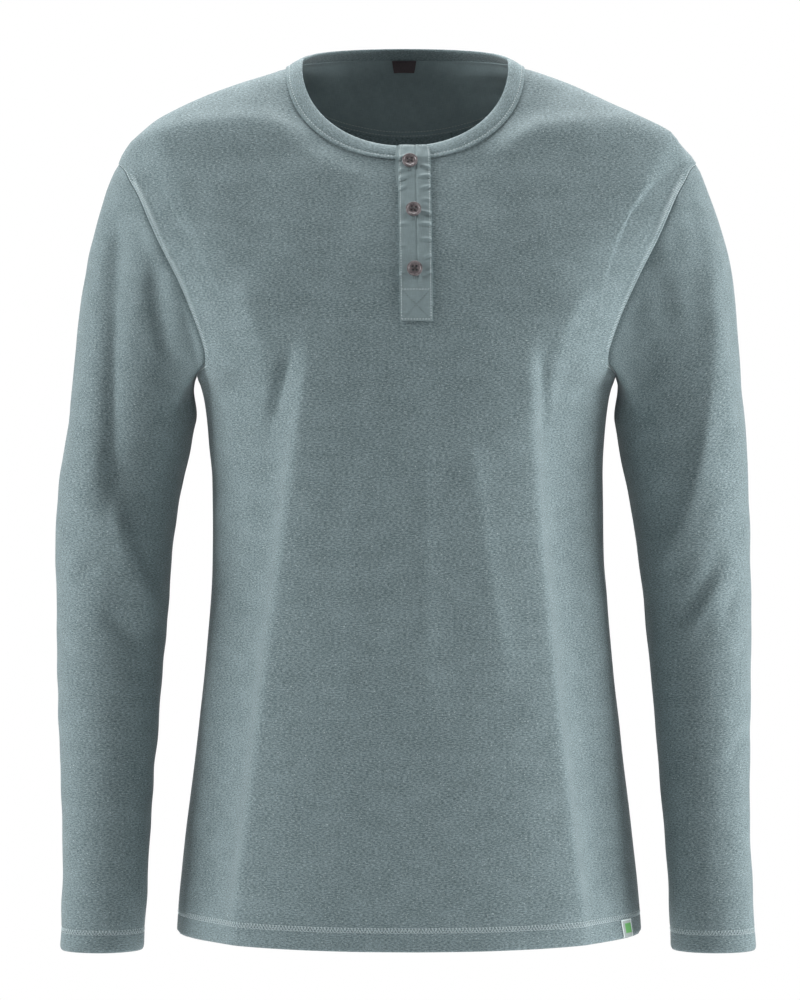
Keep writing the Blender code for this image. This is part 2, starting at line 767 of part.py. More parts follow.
def sleeve_ring(half, z, angle):
    """Points round the sleeve at height z; angle 0 is its outer side, pi its inner side."""
    name = "left" if half < 0 else "right"
    middle = column(SLEEVE_SECTIONS, name + "_x", z)
    reach = column(SLEEVE_SECTIONS, name + "_half", z)
    depth = column(SLEEVE_SECTIONS, "half_depth", z)
    power = 2 / SLEEVE_ROUNDNESS
    cosine = np.sign(np.cos(angle)) * np.abs(np.cos(angle)) ** power
    sine = np.sign(np.sin(angle)) * np.abs(np.sin(angle)) ** power
    x = half * (middle + reach * cosine)
    y = column(SLEEVE_SECTIONS, "centre_y", z) - depth * sine
    return np.stack(np.broadcast_arrays(x, y, np.asarray(z, float)), -1)


def armhole_loop(half):
    """The whole armhole, from the shoulder tip down the front and up the back."""
    front = armhole(-1, half)
    back = armhole(1, half)
    return np.vstack([front, back[::-1][1:-1]])


def loop_angles(loop, half):
    """The angle round the sleeve of each point of the armhole."""
    out_x, _, out_z = ARMHOLE_OUTWARD
    middle = 0.5 * (loop[0] + loop[ARMHOLE_ROWS])
    up = ((loop - middle)[:, 0] * half * -out_z + (loop - middle)[:, 2] * out_x)
    angle = np.arctan2(
        -(loop[:, 1] - middle[1]) / ARMHOLE_HALF_DEPTH, up / ARMHOLE_HALF_HEIGHT
    )
    angle[0] = 0.0
    angle[ARMHOLE_ROWS] = math.pi
    return np.where(angle < -1e-6, angle + 2 * math.pi, angle)


def sleeve_grid(half):
    """A closed grid round the sleeve: a column for each armhole point, ring after ring."""
    outward = np.array(ARMHOLE_OUTWARD) * (half, 1, 1)
    loop = armhole_loop(half)
    angles = loop_angles(loop, half)
    start = loop + outward * SLEEVE_SEAM_CLEARANCE
    end = sleeve_ring(half, BICEP_Z, angles)
    below = sleeve_ring(half, BICEP_Z - BELOW_BICEP, angles)
    chord = end - start
    length = np.linalg.norm(chord, axis=1, keepdims=True)
    leave = unit(CAP_OUTWARD_SHARE * outward + (1 - CAP_OUTWARD_SHARE) * unit(chord)) * length
    arrive = unit(below - end) * length
    rings = []
    for t in np.linspace(0, 1, CAP_RINGS + 1)[:-1]:
        rings.append(
            start * (2 * t**3 - 3 * t**2 + 1)
            + leave * (t**3 - 2 * t**2 + t)
            + end * (3 * t**2 - 2 * t**3)
            + arrive * (t**3 - t**2)
        )
    turn = CUFF_Z + CUFF_TURN
    even = np.arange(len(angles)) * 2 * math.pi / len(angles)
    heights = list(np.linspace(BICEP_Z, turn + HEM_STEP, ARM_RINGS)) + [turn, CUFF_Z]
    for z in heights:
        settled = soft_step((BICEP_Z - z) / TWIST_LENGTH)
        rings.append(sleeve_ring(half, z, angles * (1 - settled) + even * settled))
    return np.stack(rings, 1)


def make_sleeve(name, half, folds, material):
    """One sleeve, a tube from the armhole to the turned cuff."""
    grid = sleeve_grid(half)
    columns, rings = grid.shape[:2]
    quads = grid_quads(columns, rings, closed=True)
    if half < 0:
        quads = [quad[::-1] for quad in quads]
    points = grid.reshape(-1, 3)
    normals = point_normals(points, quads)
    fade = soft_step(np.arange(rings) / SEAM_FADE_CELLS)
    fade = np.broadcast_to(fade, (columns, rings)).ravel()
    relief = fold_relief(folds, points, normals) * fade
    points = points + normals * relief[:, None]
    normals = point_normals(points, quads)
    depth = np.full((columns, rings), WALL)
    depth[:, -2:] = TURNED_WALL
    inner = points - normals * depth.reshape(-1, 1)
    return make_wall(name, points, inner, quads, material)


# ---- placket -----------------------------------------------------------------------


def placket_sheet(width, top_inset, bottom_z):
    """Points and outward directions of a strip down the centre, bottom to top."""
    seam_z = float(neckline(-1, 1)[0, 2])
    heights = np.linspace(bottom_z, seam_z, PLACKET_ROWS)
    share = (heights - PLACKET_BOTTOM_Z) / (seam_z - PLACKET_BOTTOM_Z)
    middle = PLACKET_BOTTOM_X + (PLACKET_TOP_X - PLACKET_BOTTOM_X) * share
    across = np.linspace(-0.5, 0.5, PLACKET_COLUMNS + 1) * width
    x = middle[None, :] + across[:, None]
    grid = on_body(x, np.broadcast_to(heights, x.shape), -1)
    out = unit(body_slope(grid))
    top = grid[:, -1]
    lean = band_lean(top)
    raised = band_out(lean)
    rises = np.array([0.5, 1.0]) * (PLACKET_TOP_RISE - top_inset)
    above = np.stack([top + lean * rise for rise in rises], 1)
    grid = np.concatenate([grid, above], 1)
    out = np.concatenate([out, np.repeat(raised[:, None], 2, 1)], 1)
    out[:, PLACKET_ROWS - 1] = unit(out[:, PLACKET_ROWS - 1] + raised)
    return grid, out


def make_placket(name, width, top_inset, bottom_z, lift, depth, material):
    """A placket strip, lifted from the form by lift and depth thick."""
    grid, out = placket_sheet(width, top_inset, bottom_z)
    columns, rows = grid.shape[:2]
    outer = (grid + out * (lift + depth)).reshape(-1, 3)
    inner = (grid + out * lift).reshape(-1, 3)
    quads = grid_quads(columns, rows)
    return make_wall(name, outer, inner, quads, material)


# ---- buttons -----------------------------------------------------------------------


def lathe(profile, sides):
    """Points and faces of a closed turned shape; the profile starts and ends on the axis."""
    points = [(0.0, 0.0, profile[0][1])]
    for radius, height in profile[1:-1]:
        for k in range(sides):
            turn = 2 * math.pi * k / sides
            points.append((radius * math.cos(turn), radius * math.sin(turn), height))
    points.append((0.0, 0.0, profile[-1][1]))
    rings = len(profile) - 2
    last = len(points) - 1
    faces = []
    for k in range(sides):
        after = (k + 1) % sides
        faces.append((0, 1 + after, 1 + k))
        for ring in range(rings - 1):
            a, b = 1 + ring * sides, 1 + (ring + 1) * sides
            faces.append((a + k, a + after, b + after, b + k))
        a = 1 + (rings - 1) * sides
        faces.append((a + k, a + after, last))
    return points, faces


def make_button(name, x, z, material):
    """A dished four-hole button that lies on the placket."""
    radius = BUTTON_DIAMETER / 2
    profile = [(turn.radius * radius, turn.height * BUTTON_THICKNESS) for turn in BUTTON_OUTLINE]
    points, faces = lathe(profile, BUTTON_SIDES)
    frame = placket_frame(x, z)
    place = frame[0] + frame[3] * (OVER_LIFT + OVER_WALL + BUTTON_LIFT)
    button = make_object(name, placed(points, place, frame), faces, material)
    for k in range(4):
        across = BUTTON_HOLE_SPACING / 2 * (1 if k % 2 else -1)
        up = BUTTON_HOLE_SPACING / 2 * (1 if k // 2 else -1)
        cutter = hole_cutter(f"{name}_hole_{k}", across, up, place, frame, material)
        cut = button.modifiers.new("Hole", "BOOLEAN")
        cut.operation = "DIFFERENCE"
        cut.object = cutter
    return button


def placket_frame(x, z):
    """A point of the front with directions across, up and out."""
    base = on_body(x, z, -1)
    out = unit(body_slope(base[None])[0])
    across = unit(np.cross(np.array([0.0, 0.0, 1.0]), out))
    return base, across, unit(np.cross(out, across)), out


def placed(points, place, frame):
    """Local points (across, up, out) moved to their place, in metres."""
    local = np.asarray(points, float)
    return (place + local @ np.stack(frame[1:])) * MM


def hole_cutter(name, across, up, place, frame, material):
    """A prism that cuts one thread hole."""
    radius = BUTTON_HOLE_DIAMETER / 2
    low, high = -BUTTON_HOLE_OVERRUN, BUTTON_THICKNESS + BUTTON_HOLE_OVERRUN
    points, faces = lathe([(0.0, low), (radius, low), (radius, high), (0.0, high)], BUTTON_HOLE_SIDES)
    points = [(a + across, b + up, c) for a, b, c in points]
    cutter = make_object(name, placed(points, place, frame), faces, material)
    cutter.hide_render = True
    cutter.display_type = "WIRE"
    return cutter


# ---- half moon and labels ----------------------------------------------------------


def between_cells(values, column, row):
    """A panel's values read between its columns and rows, both counted in cells."""
    i = np.clip(np.floor(column).astype(int), 0, values.shape[0] - 2)
    j = np.clip(np.floor(row).astype(int), 0, values.shape[1] - 2)
    a = (column - i)[..., None]
    b = (row - j)[..., None]
    upper = (1 - a) * values[i, j] + a * values[i + 1, j]
    lower = (1 - a) * values[i, j + 1] + a * values[i + 1, j + 1]
    return (1 - b) * upper + b * lower


def rows_at(points, columns, lengths):
    """The rows, counted in cells, that lie at the given lengths down a panel's columns."""
    rows = np.arange(points.shape[1])
    found = []
    for column, wanted in zip(columns, lengths):
        line = between_cells(points, np.full(len(rows), column), rows)
        steps = np.linalg.norm(np.diff(line, axis=0), axis=1)
        found.append(np.interp(wanted, np.concatenate([[0.0], np.cumsum(steps)]), rows))
    return np.array(found)


def make_neck_facing(material):
    """A half moon of cloth that lies inside the back, below the neckband's seam."""
    points, normals, _, _ = panel_surface(1)
    columns = np.arange(1.0, len(points) - 1)
    middle = float(column(BODY_SECTIONS, "centre_x", NECK_SIDE_Z))
    aside = (points[1:-1, 0, 0] - middle) / FACING_HALF_WIDTH
    depths = FACING_DEPTH * np.sqrt(1 - aside**2)
    lengths = [np.linspace(FACING_TOP_GAP, depth, FACING_ROWS) for depth in depths]
    across = np.repeat(columns[:, None], FACING_ROWS, 1)
    down = rows_at(points, columns, lengths)
    skin = between_cells(points, across, down)
    out = unit(between_cells(normals, across, down))
    outer = (skin - out * (WALL + FACING_CLEARANCE)).reshape(-1, 3)
    inner = (skin - out * (WALL + FACING_CLEARANCE + FACING_WALL)).reshape(-1, 3)
    quads = [quad[::-1] for quad in grid_quads(len(columns), FACING_ROWS)]
    return make_wall("neck_facing", outer, inner, quads, material)


def make_neck_label(material):
    """A short folded label that hangs on the half moon, below the neckband's seam."""
    points, normals, _, _ = panel_surface(1)
    taper = 1 - NECK_LABEL_TAPER * np.linspace(0, 1, NECK_LABEL_ROWS)
    x = np.linspace(0.5, -0.5, NECK_LABEL_COLUMNS)[:, None] * taper * NECK_LABEL_WIDTH
    across = np.interp(NECK_LABEL_X + x, points[::-1, 0, 0], np.arange(len(points))[::-1])
    length = NECK_LABEL_DROP + np.linspace(0, NECK_LABEL_LENGTH, NECK_LABEL_ROWS)
    down = rows_at(points, across[:, 0], [length] * NECK_LABEL_COLUMNS)
    skin = between_cells(points, across, down)
    out = unit(between_cells(normals, across, down))
    hang = np.linspace(0, NECK_LABEL_HANG, NECK_LABEL_ROWS)[None, :, None]
    sink = WALL + FACING_CLEARANCE + FACING_WALL + NECK_LABEL_CLEARANCE + hang
    outer = (skin - out * sink).reshape(-1, 3)
    inner = (skin - out * (sink + NECK_LABEL_WALL)).reshape(-1, 3)
    quads = [quad[::-1] for quad in grid_quads(NECK_LABEL_COLUMNS, NECK_LABEL_ROWS)]
    return make_wall("neck_label", outer, inner, quads, material)


def make_hem_label(material):
    """A small folded label that wraps the front's hem near the side seam."""
    points, normals, depth, _ = panel_surface(-1)
    near_side = len(points) - 1 - HEM_LABEL_COLUMN
    reach = HEM_LABEL_WIDTH / np.linalg.norm(points[near_side, -1] - points[near_side - 1, -1])
    hem_z = float(points[near_side - 1 : near_side + 1, -1, 2].min())
    lowest = hem_z - HEM_LABEL_CLEARANCE
    top = hem_z + HEM_LABEL_HEIGHT
    near, far = HEM_LABEL_CLEARANCE, HEM_LABEL_CLEARANCE + HEM_LABEL_WALL
    back = TURNED_WALL + HEM_LABEL_CLEARANCE
    outline = [
        (far, top),
        (far, lowest),
        (0.6 * far, lowest - HEM_LABEL_WALL),
        (-back - 0.3 * HEM_LABEL_WALL, lowest - HEM_LABEL_WALL),
        (-back - HEM_LABEL_WALL, lowest),
        (-back - HEM_LABEL_WALL, top),
        (-back, top),
        (-back, lowest),
        (near, lowest),
        (near, top),
    ]
    solid = []
    for across in 0.5 + np.array([-0.5, 0.5]) * reach:
        for proud, z in outline:
            up = np.clip((z - hem_z) / HEM_TURN, 0, 1)
            cell = points[near_side - 1 : near_side + 1, -2:]
            lean = normals[near_side - 1 : near_side + 1, -2:]
            base, out = (
                (1 - across) * ((1 - up) * part[0, 1] + up * part[0, 0])
                + across * ((1 - up) * part[1, 1] + up * part[1, 0])
                for part in (cell, lean)
            )
            spot = base + unit(out) * proud
            solid.append((spot[0], spot[1], z))
    return sweep_solid("hem_label", np.array(solid), len(outline), 2, material)


def sweep_solid(name, points, corners, stations, material):
    """A closed solid from outlines set one after another."""
    faces = [tuple(range(corners))]
    for s in range(stations - 1):
        for c in range(corners):
            after = (c + 1) % corners
            a, b = s * corners, (s + 1) * corners
            faces.append((a + c, b + c, b + after, a + after))
    faces.append(tuple(reversed(range((stations - 1) * corners, stations * corners))))
    made = make_object(name, points * MM, faces, material)
    face_outwards(made.data)
    return made


def face_outwards(mesh):
    """Turns all faces of a closed mesh outwards, and splits its many-sided ends."""
    shape = bmesh.new()
    shape.from_mesh(mesh)
    bmesh.ops.recalc_face_normals(shape, faces=shape.faces)
    bmesh.ops.triangulate(shape, faces=[face for face in shape.faces if len(face.verts) > 4])
    shape.to_mesh(mesh)
    shape.free()


# ---- the whole shirt ---------------------------------------------------------------


def clear_scene():
    """Removes every object of the open scene."""
    for old in list(bpy.data.objects):
        bpy.data.objects.remove(old, do_unlink=True)


def build_shirt():
    """Makes every piece of the shirt."""
    jersey = make_material("Jersey grey teal", (0.155, 0.205, 0.215), 0.9)
    rib = make_material("Neckband jersey", (0.20, 0.26, 0.275), 0.9)
    woven = make_material("Placket poplin", (0.165, 0.215, 0.225), 0.75)
    horn = make_material("Button horn brown", (0.19, 0.145, 0.15), 0.4)
    satin = make_material("Label satin", (0.05, 0.035, 0.04), 0.5)
    tab = make_material("Hem label grey", (0.30, 0.35, 0.35), 0.6)
    make_panel("front", -1, jersey)
    make_panel("back", 1, jersey)
    make_sleeve("sleeve_left", -1, LEFT_SLEEVE_FOLDS, jersey)
    make_sleeve("sleeve_right", 1, RIGHT_SLEEVE_FOLDS, jersey)
    make_neckband(rib)
    make_placket(
        "placket_over", PLACKET_WIDTH, 0.0, PLACKET_BOTTOM_Z, OVER_LIFT, OVER_WALL, woven
    )
    make_placket(
        "placket_under",
        PLACKET_WIDTH - UNDER_INSET,
        UNDER_TOP_INSET,
        PLACKET_BOTTOM_Z + UNDER_INSET,
        -UNDER_SINK - UNDER_WALL,
        UNDER_WALL,
        woven,
    )
    for number, button in enumerate(BUTTONS, start=1):
        make_button(f"button_{number}", button.x, button.z, horn)
    make_neck_facing(woven)
    make_neck_label(satin)
    make_hem_label(tab)


clear_scene()
build_shirt()
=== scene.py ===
"""Looks of a long-sleeved henley shirt: jersey, neckband, placket, buttons, labels and sewing.

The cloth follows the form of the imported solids, and is finer: each cut piece is a thin sheet
with its turned hem, its creases and its own cloth material. Tables and sizes of the form are
in millimetres, and points turn into metres where a mesh is made. The wearer faces -Y, +Z is
up, and the origin lies midway between the high points of the shoulders.
"""

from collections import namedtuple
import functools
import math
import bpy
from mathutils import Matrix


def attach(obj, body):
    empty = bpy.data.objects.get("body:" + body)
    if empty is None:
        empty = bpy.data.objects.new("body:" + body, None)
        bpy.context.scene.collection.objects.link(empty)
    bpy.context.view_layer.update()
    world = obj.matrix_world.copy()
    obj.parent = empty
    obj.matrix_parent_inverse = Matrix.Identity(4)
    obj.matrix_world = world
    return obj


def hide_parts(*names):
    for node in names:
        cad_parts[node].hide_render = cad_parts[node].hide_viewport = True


bl_info = {
    "name": "Henley Shirt",
    "version": (1, 0, 0),
    "blender": (4, 5, 0),
    "location": "View3D > Sidebar > Henley",
    "description": "Models a henley shirt from its cut pieces, with its sewing and its stage",
    "category": "Object",
}

import bpy
from mathutils import Matrix, Vector, kdtree
import numpy as np

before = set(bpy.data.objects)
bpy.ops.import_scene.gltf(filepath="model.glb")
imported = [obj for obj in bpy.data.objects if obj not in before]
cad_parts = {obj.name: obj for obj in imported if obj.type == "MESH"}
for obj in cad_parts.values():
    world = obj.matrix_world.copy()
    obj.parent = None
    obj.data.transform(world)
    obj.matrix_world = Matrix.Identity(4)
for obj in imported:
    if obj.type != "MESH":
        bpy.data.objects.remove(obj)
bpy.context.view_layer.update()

MM = 0.001
TINY = 1e-9
BODY = "root"

# ---- the shirt's form, in millimetres

HEM_Z = -700.0
HEM_SIDE_RISE = 3.5
HEM_TURN = 18.0
NECK_HALF_WIDTH = 94.0
NECK_SIDE_Z = -5.0
NECK_FRONT_DROP = 79.5
NECK_BACK_RISE = 13.5
NECK_ROUNDNESS = 2.15
NAPE_ROUNDNESS = 0.62
NECK_HALF_DEPTH = 75.0
SHOULDER_TIP_Z = -83.0
UNDERARM_Z = -252.0
FRONT_CENTRE_X = 6.0
SEAM_GAP = 0.06

# Grid of a body panel: cells across a half and down it
SLIT_SHARE = 0.064
SLIT_HALF_WIDTH = 8.5
SLIT_COLUMNS = 3
SLIT_EASE_COLUMNS = 10
EDGE_SHARE = 0.955
MAIN_COLUMNS = 58
EDGE_COLUMNS = 9
SHOULDER_ROWS = 25
ARMHOLE_ROWS = 55
SLIT_ROWS = 40
SIDE_ROWS = 122
FRONT_ROW_STEP = 2.58
BACK_ROW_STEP = 3.36
SEAM_SAMPLES = 90

# Turned hems and cuffs
HEM_ROLL = 0.9
HEM_ROUND = 4.5
HEM_NEAR = 6.0
HEM_NEAR_ROWS = 17
FOLD_ROUND_ROWS = 4
TURN_UP_ROWS = 4

# Sleeves
BICEP_Z = -290.0
CUFF_Z = -708.0
CUFF_TURN = 17.5
CAP_RINGS = 36
ARM_RINGS = 128
SLEEVE_HALF_COLUMNS = 56
SLEEVE_ROUNDNESS = 2.1
ARMHOLE_OUTWARD = (0.93, 0.0, -0.36)
ARMHOLE_HALF_HEIGHT = 90.0
ARMHOLE_HALF_DEPTH = 60.0
SLEEVE_SEAM_CLEARANCE = 0.55
CAP_OUTWARD_SHARE = 0.3
BELOW_BICEP = 5.0
TWIST_LENGTH = 160.0

# Neckband
BAND_RISE = 0.62
BAND_RISE_FRONT = 0.16
BAND_RISE_BACK = -0.14
BAND_LIE_SHOULDER = 0.14

# Placket
PLACKET_TOP_X = 4.8
PLACKET_BOTTOM_X = 6.2
PLACKET_BOTTOM_Z = -214.5
PLACKET_TOP_RISE = 12.4
PLACKET_ROWS = 200
PLACKET_TOP_ROWS = 20
PLACKET_COLUMNS = 44
OVER_FACE = 2.2
UNDER_FACE = 1.15
BAND_LIFT = 0.6
BAND_LIFT_REACH = 6.0

Button = namedtuple("Button", "x z turn")
BUTTON_LIFT = 0.4
BUTTONS = [Button(1.3, -88.3, 8), Button(4.1, -127.8, -6), Button(4.9, -174.4, 3)]

Section = namedtuple(
    "Section", "z half_width front_depth back_depth centre_x centre_y squareness"
)
BODY_SECTIONS = [
    Section(22, 57.0, 24, 58, -2.2, 8.0, 2.10),
    Section(7, 78.5, 26, 62, -2.2, 8.0, 2.10),
    Section(0, 87.0, 27, 66, -2.2, 8.0, 2.10),
    Section(-5, 94.0, 28, 69, -2.2, 8.0, 2.10),
    Section(-10, 107.5, 31, 72, -1.5, 8.0, 2.10),
    Section(-19, 134, 37, 77, -3.5, 8.0, 2.10),
    Section(-29, 158, 43, 81, -6.0, 7.5, 2.10),
    Section(-38.5, 177.5, 49, 85, -6.5, 7.0, 2.10),
    Section(-48, 194.5, 55, 88, -6.5, 7.0, 2.10),
    Section(-58, 208.8, 61, 91, -5.0, 6.5, 2.12),
    Section(-67, 220.4, 65.5, 94, -3.2, 6.0, 2.14),
    Section(-77, 228, 70, 97, -1.2, 6.0, 2.16),
    Section(-85, 232, 74, 100, -0.5, 6.0, 2.18),
    Section(-100, 237, 82, 104, -0.5, 5.0, 2.20),
    Section(-116, 237, 90, 108, -0.5, 4.5, 2.22),
    Section(-143, 227, 103, 112, -0.5, 3.5, 2.28),
    Section(-165, 210, 111, 114, -0.5, 2.5, 2.34),
    Section(-183, 199, 116, 115, -0.5, 2.0, 2.38),
    Section(-206, 185, 121, 116, -1.0, 1.0, 2.44),
    Section(-228, 174.5, 124, 116, -1.0, 0.5, 2.48),
    Section(-252, 167, 125, 114, -1.2, 0.0, 2.50),
    Section(-272, 161.5, 124.5, 112, -1.2, 0.0, 2.48),
    Section(-304, 158, 122.5, 108, -1.2, 0.0, 2.44),
    Section(-336, 156, 120, 104.5, -0.4, 0.0, 2.40),
    Section(-368, 156, 118, 101, 0.0, 0.0, 2.36),
    Section(-400, 156.4, 116.5, 98, 0.2, 0.0, 2.34),
    Section(-432, 158.4, 116, 97, 0.8, 0.0, 2.34),
    Section(-464, 161, 116, 99, 0.8, 0.0, 2.34),
    Section(-496, 164, 117, 103, 0.8, 0.0, 2.34),
    Section(-528, 167.6, 118.5, 108, 1.0, 0.0, 2.34),
    Section(-560, 171.2, 120, 113, 0.8, 0.0, 2.34),
    Section(-592, 175.2, 122, 117, 0.8, 0.0, 2.34),
    Section(-624, 179, 124, 121, 0.6, 0.0, 2.34),
    Section(-656, 182.4, 126, 124, 0.8, 0.0, 2.34),
    Section(-688, 185, 127.5, 126, 0.8, 0.0, 2.34),
    Section(-720, 187, 128.5, 127, 0.8, 0.0, 2.34),
]

ArmholePoint = namedtuple("ArmholePoint", "x z")
ARMHOLE_FRONT = [
    ArmholePoint(226, -88.5),
    ArmholePoint(221, -98),
    ArmholePoint(211, -116),
    ArmholePoint(199, -143),
    ArmholePoint(188, -165),
    ArmholePoint(179, -183),
    ArmholePoint(169, -206),
    ArmholePoint(161, -228),
    ArmholePoint(158.5, -239),
    ArmholePoint(160.5, -247),
]
ARMHOLE_BACK = [
    ArmholePoint(229.5, -90),
    ArmholePoint(225, -99),
    ArmholePoint(217, -116),
    ArmholePoint(205, -143),
    ArmholePoint(193, -165),
    ArmholePoint(183, -185),
    ArmholePoint(174, -206),
    ArmholePoint(166, -228),
    ArmholePoint(163, -240),
]

SleeveSection = namedtuple(
    "SleeveSection", "z left_x left_half right_x right_half centre_y half_depth"
)
SLEEVE_SECTIONS = [
    SleeveSection(-272, 218.0, 51.6, 214.4, 51.2, 3.5, 61.5),
    SleeveSection(-304, 222.8, 50.8, 218.8, 50.8, 4.5, 60.0),
    SleeveSection(-336, 228.8, 49.6, 222.8, 48.4, 5.0, 58.0),
    SleeveSection(-368, 233.2, 47.6, 226.8, 46.0, 5.0, 55.5),
    SleeveSection(-400, 235.6, 46.0, 229.2, 44.4, 4.5, 53.0),
    SleeveSection(-432, 236.4, 44.4, 231.6, 42.8, 3.0, 50.5),
    SleeveSection(-464, 237.2, 43.2, 232.8, 41.4, 0.0, 47.5),
    SleeveSection(-496, 238.4, 41.6, 234.0, 39.6, -4.0, 45.0),
    SleeveSection(-528, 238.6, 39.8, 235.1, 38.0, -8.5, 42.5),
    SleeveSection(-560, 239.1, 37.7, 235.8, 36.4, -13.0, 40.5),
    SleeveSection(-592, 239.6, 36.0, 236.8, 34.9, -17.5, 38.5),
    SleeveSection(-624, 239.8, 34.6, 238.1, 34.0, -21.5, 36.5),
    SleeveSection(-656, 240.6, 33.7, 239.8, 33.6, -25.0, 35.0),
    SleeveSection(-688, 241.7, 33.4, 241.1, 33.6, -28.0, 34.0),
    SleeveSection(-712, 242.5, 33.0, 242.1, 34.0, -30.0, 33.5),
]

# A fold runs from its start past its bend to its end, as seen from the front. Facing is
# -1 on the front of the shirt and +1 on its back. A ridge stands proud by its height and a
# trough has a negative height. A crest falls off over its half width on the right-hand side of
# its run, as seen from the front, and over its reach on the other side. A step goes down over
# its half width on its right-hand side only, and comes up again past its reach. The body's
# steps ease out over a longer way towards the panel's sides than its other folds.
FOLD_SAMPLES = 16
FOLD_END_SHARE = 0.35
FOLD_FACING = 1.2
CREST_END_SHARE = 0.18
CREST_ROUND_SHARE = 0.35
BODY_FOLD_FADE = 26.0
BODY_STEP_FADE = 75.0
SLEEVE_FOLD_FADE = 15.0
Fold = namedtuple(
    "Fold",
    "kind facing start_x start_z bend_x bend_z end_x end_z half_width height reach",
    defaults=(35,),
)
BODY_STEPS = [
    Fold("step", -1, -72, -205, -103, -455, -139, -745, 14, -18, 60),
    Fold("step", -1, 141, -745, 105, -445, 90, -215, 14, -21, 60),
]
BODY_FOLDS = [
    Fold("crest", -1, -72, -215, -107, -455, -142, -745, 15, 5, 60),
    Fold("crest", -1, 144, -745, 108, -445, 91, -220, 15, 5, 60),
    Fold("crest", -1, -134, -176, -115, -230, -113, -300, 13, 4.5, 20),
    Fold("crest", -1, 116, -300, 117, -232, 142, -178, 13, 5.0, 20),
    Fold("crest", -1, -20, -84, -133, -57, -220, -80, 16, 8, 55),
    Fold("crest", -1, 222, -78, 155, -57, 40, -84, 16, 8, 55),
    Fold("trough", -1, -88, -226, -102, -266, -117, -308, 5, -3.5),
    Fold("trough", -1, 102, -234, 107, -270, 115, -316, 5, -3.5),
    Fold("crest", -1, -11, -262, -10, -400, -13, -540, 7, 2.2, 22),
    Fold("crest", -1, 15, -530, 14, -400, 13, -262, 7, 2.2, 22),
    Fold("crest", -1, 78, -500, 58, -385, 46, -290, 7, 2.8, 28),
    Fold("crest", -1, -42, -320, -43, -420, -47, -530, 7, 1.4, 20),
    Fold("trough", 1, -70, -300, -50, -400, -62, -540, 15, -5.0),
    Fold("trough", 1, 76, -290, 58, -395, 66, -560, 15, -5.5),
    Fold("ridge", 1, -110, -250, -92, -380, -112, -520, 16, 5.5),
    Fold("ridge", 1, 116, -260, 96, -385, 114, -530, 16, 5.5),
    Fold("trough", 1, -150, -230, -120, -190, -80, -160, 12, -4.5),
    Fold("trough", 1, 150, -232, 118, -196, 82, -170, 12, -4.0),
    Fold("ridge", 1, -20, -420, -14, -520, -24, -640, 18, 3.0),
    Fold("ridge", 1, 30, -380, 22, -500, 34, -600, 18, 3.5),
]
LEFT_SLEEVE_FOLDS = [
    Fold("crest", -1, -236, -104, -237, -235, -233, -384, 8, -11.0, 30),
    Fold("crest", -1, -194, -460, -228, -372, -247, -300, 9, 5.5, 25),
    Fold("trough", -1, -200, -155, -196, -208, -180, -256, 7, -3.5),
    Fold("ridge", -1, -187, -166, -182, -196, -176, -226, 6, 1.6),
    Fold("trough", -1, -176, -176, -167, -214, -159, -256, 6, -4.5),
    Fold("trough", -1, -266, -418, -256, -410, -240, -408, 5, -2.5),
    Fold("ridge", -1, -238, -345, -220, -400, -204, -475, 8, 2.2),
    Fold("trough", -1, -242, -436, -226, -452, -204, -478, 8, -2.5),
    Fold("trough", 1, -200, -300, -226, -360, -268, -402, 13, -4.0),
    Fold("trough", 1, -204, -470, -232, -440, -272, -432, 12, -3.5),
]
RIGHT_SLEEVE_FOLDS = [
    Fold("crest", -1, 236, -110, 233, -300, 193, -420, 8, 6.5, 30),
    Fold("ridge", -1, 234, -170, 246, -255, 262, -345, 7, 2.0),
    Fold("trough", -1, 248, -384, 230, -422, 204, -456, 7, -2.3),
    Fold("ridge", -1, 252, -404, 236, -434, 212, -466, 6, 1.6),
    Fold("trough", -1, 264, -410, 256, -432, 246, -454, 5, -1.6),
    Fold("trough", -1, 272, -524, 262, -545, 248, -564, 5, -1.8),
    Fold("trough", 1, 198, -296, 224, -352, 262, -392, 13, -4.0),
    Fold("trough", 1, 202, -462, 230, -436, 266, -428, 12, -3.5),
]


# ---- settings


def length(name, description, default_mm):
    """A length property whose default is given in millimetres."""
    return bpy.props.FloatProperty(
        name=name, description=description, default=default_mm * MM, min=0.0, unit="LENGTH"
    )


def colour(name, description, default):
    """A linear colour property."""
    return bpy.props.FloatVectorProperty(
        name=name, description=description, default=default, size=3, min=0, max=1, subtype="COLOR"
    )


class HenleyCloth(bpy.types.PropertyGroup):
    """Cloth thicknesses and colours."""

    jersey_thickness: length("Jersey thickness", "One layer of the jersey", 0.8)
    woven_thickness: length("Woven thickness", "A placket strip, folded double", 1.0)
    jersey_dark: colour("Jersey dark", "Darkest yarn of the heather", (0.072, 0.106, 0.114))
    jersey_light: colour("Jersey light", "Lightest yarn of the heather", (0.245, 0.318, 0.335))
    jersey_fleck: colour("Jersey fleck", "Undyed fibre flecks", (0.45, 0.52, 0.53))
    woven_colour: colour("Woven colour", "Placket and half moon", (0.19, 0.25, 0.262))
    label_colour: colour("Neck label", "Satin of the neck label", (0.045, 0.03, 0.035))
    tab_colour: colour("Hem label", "Woven tab on the hem", (0.36, 0.41, 0.41))
    tab_mark_colour: colour("Hem label mark", "Plain block on the hem label", (0.12, 0.38, 0.11))


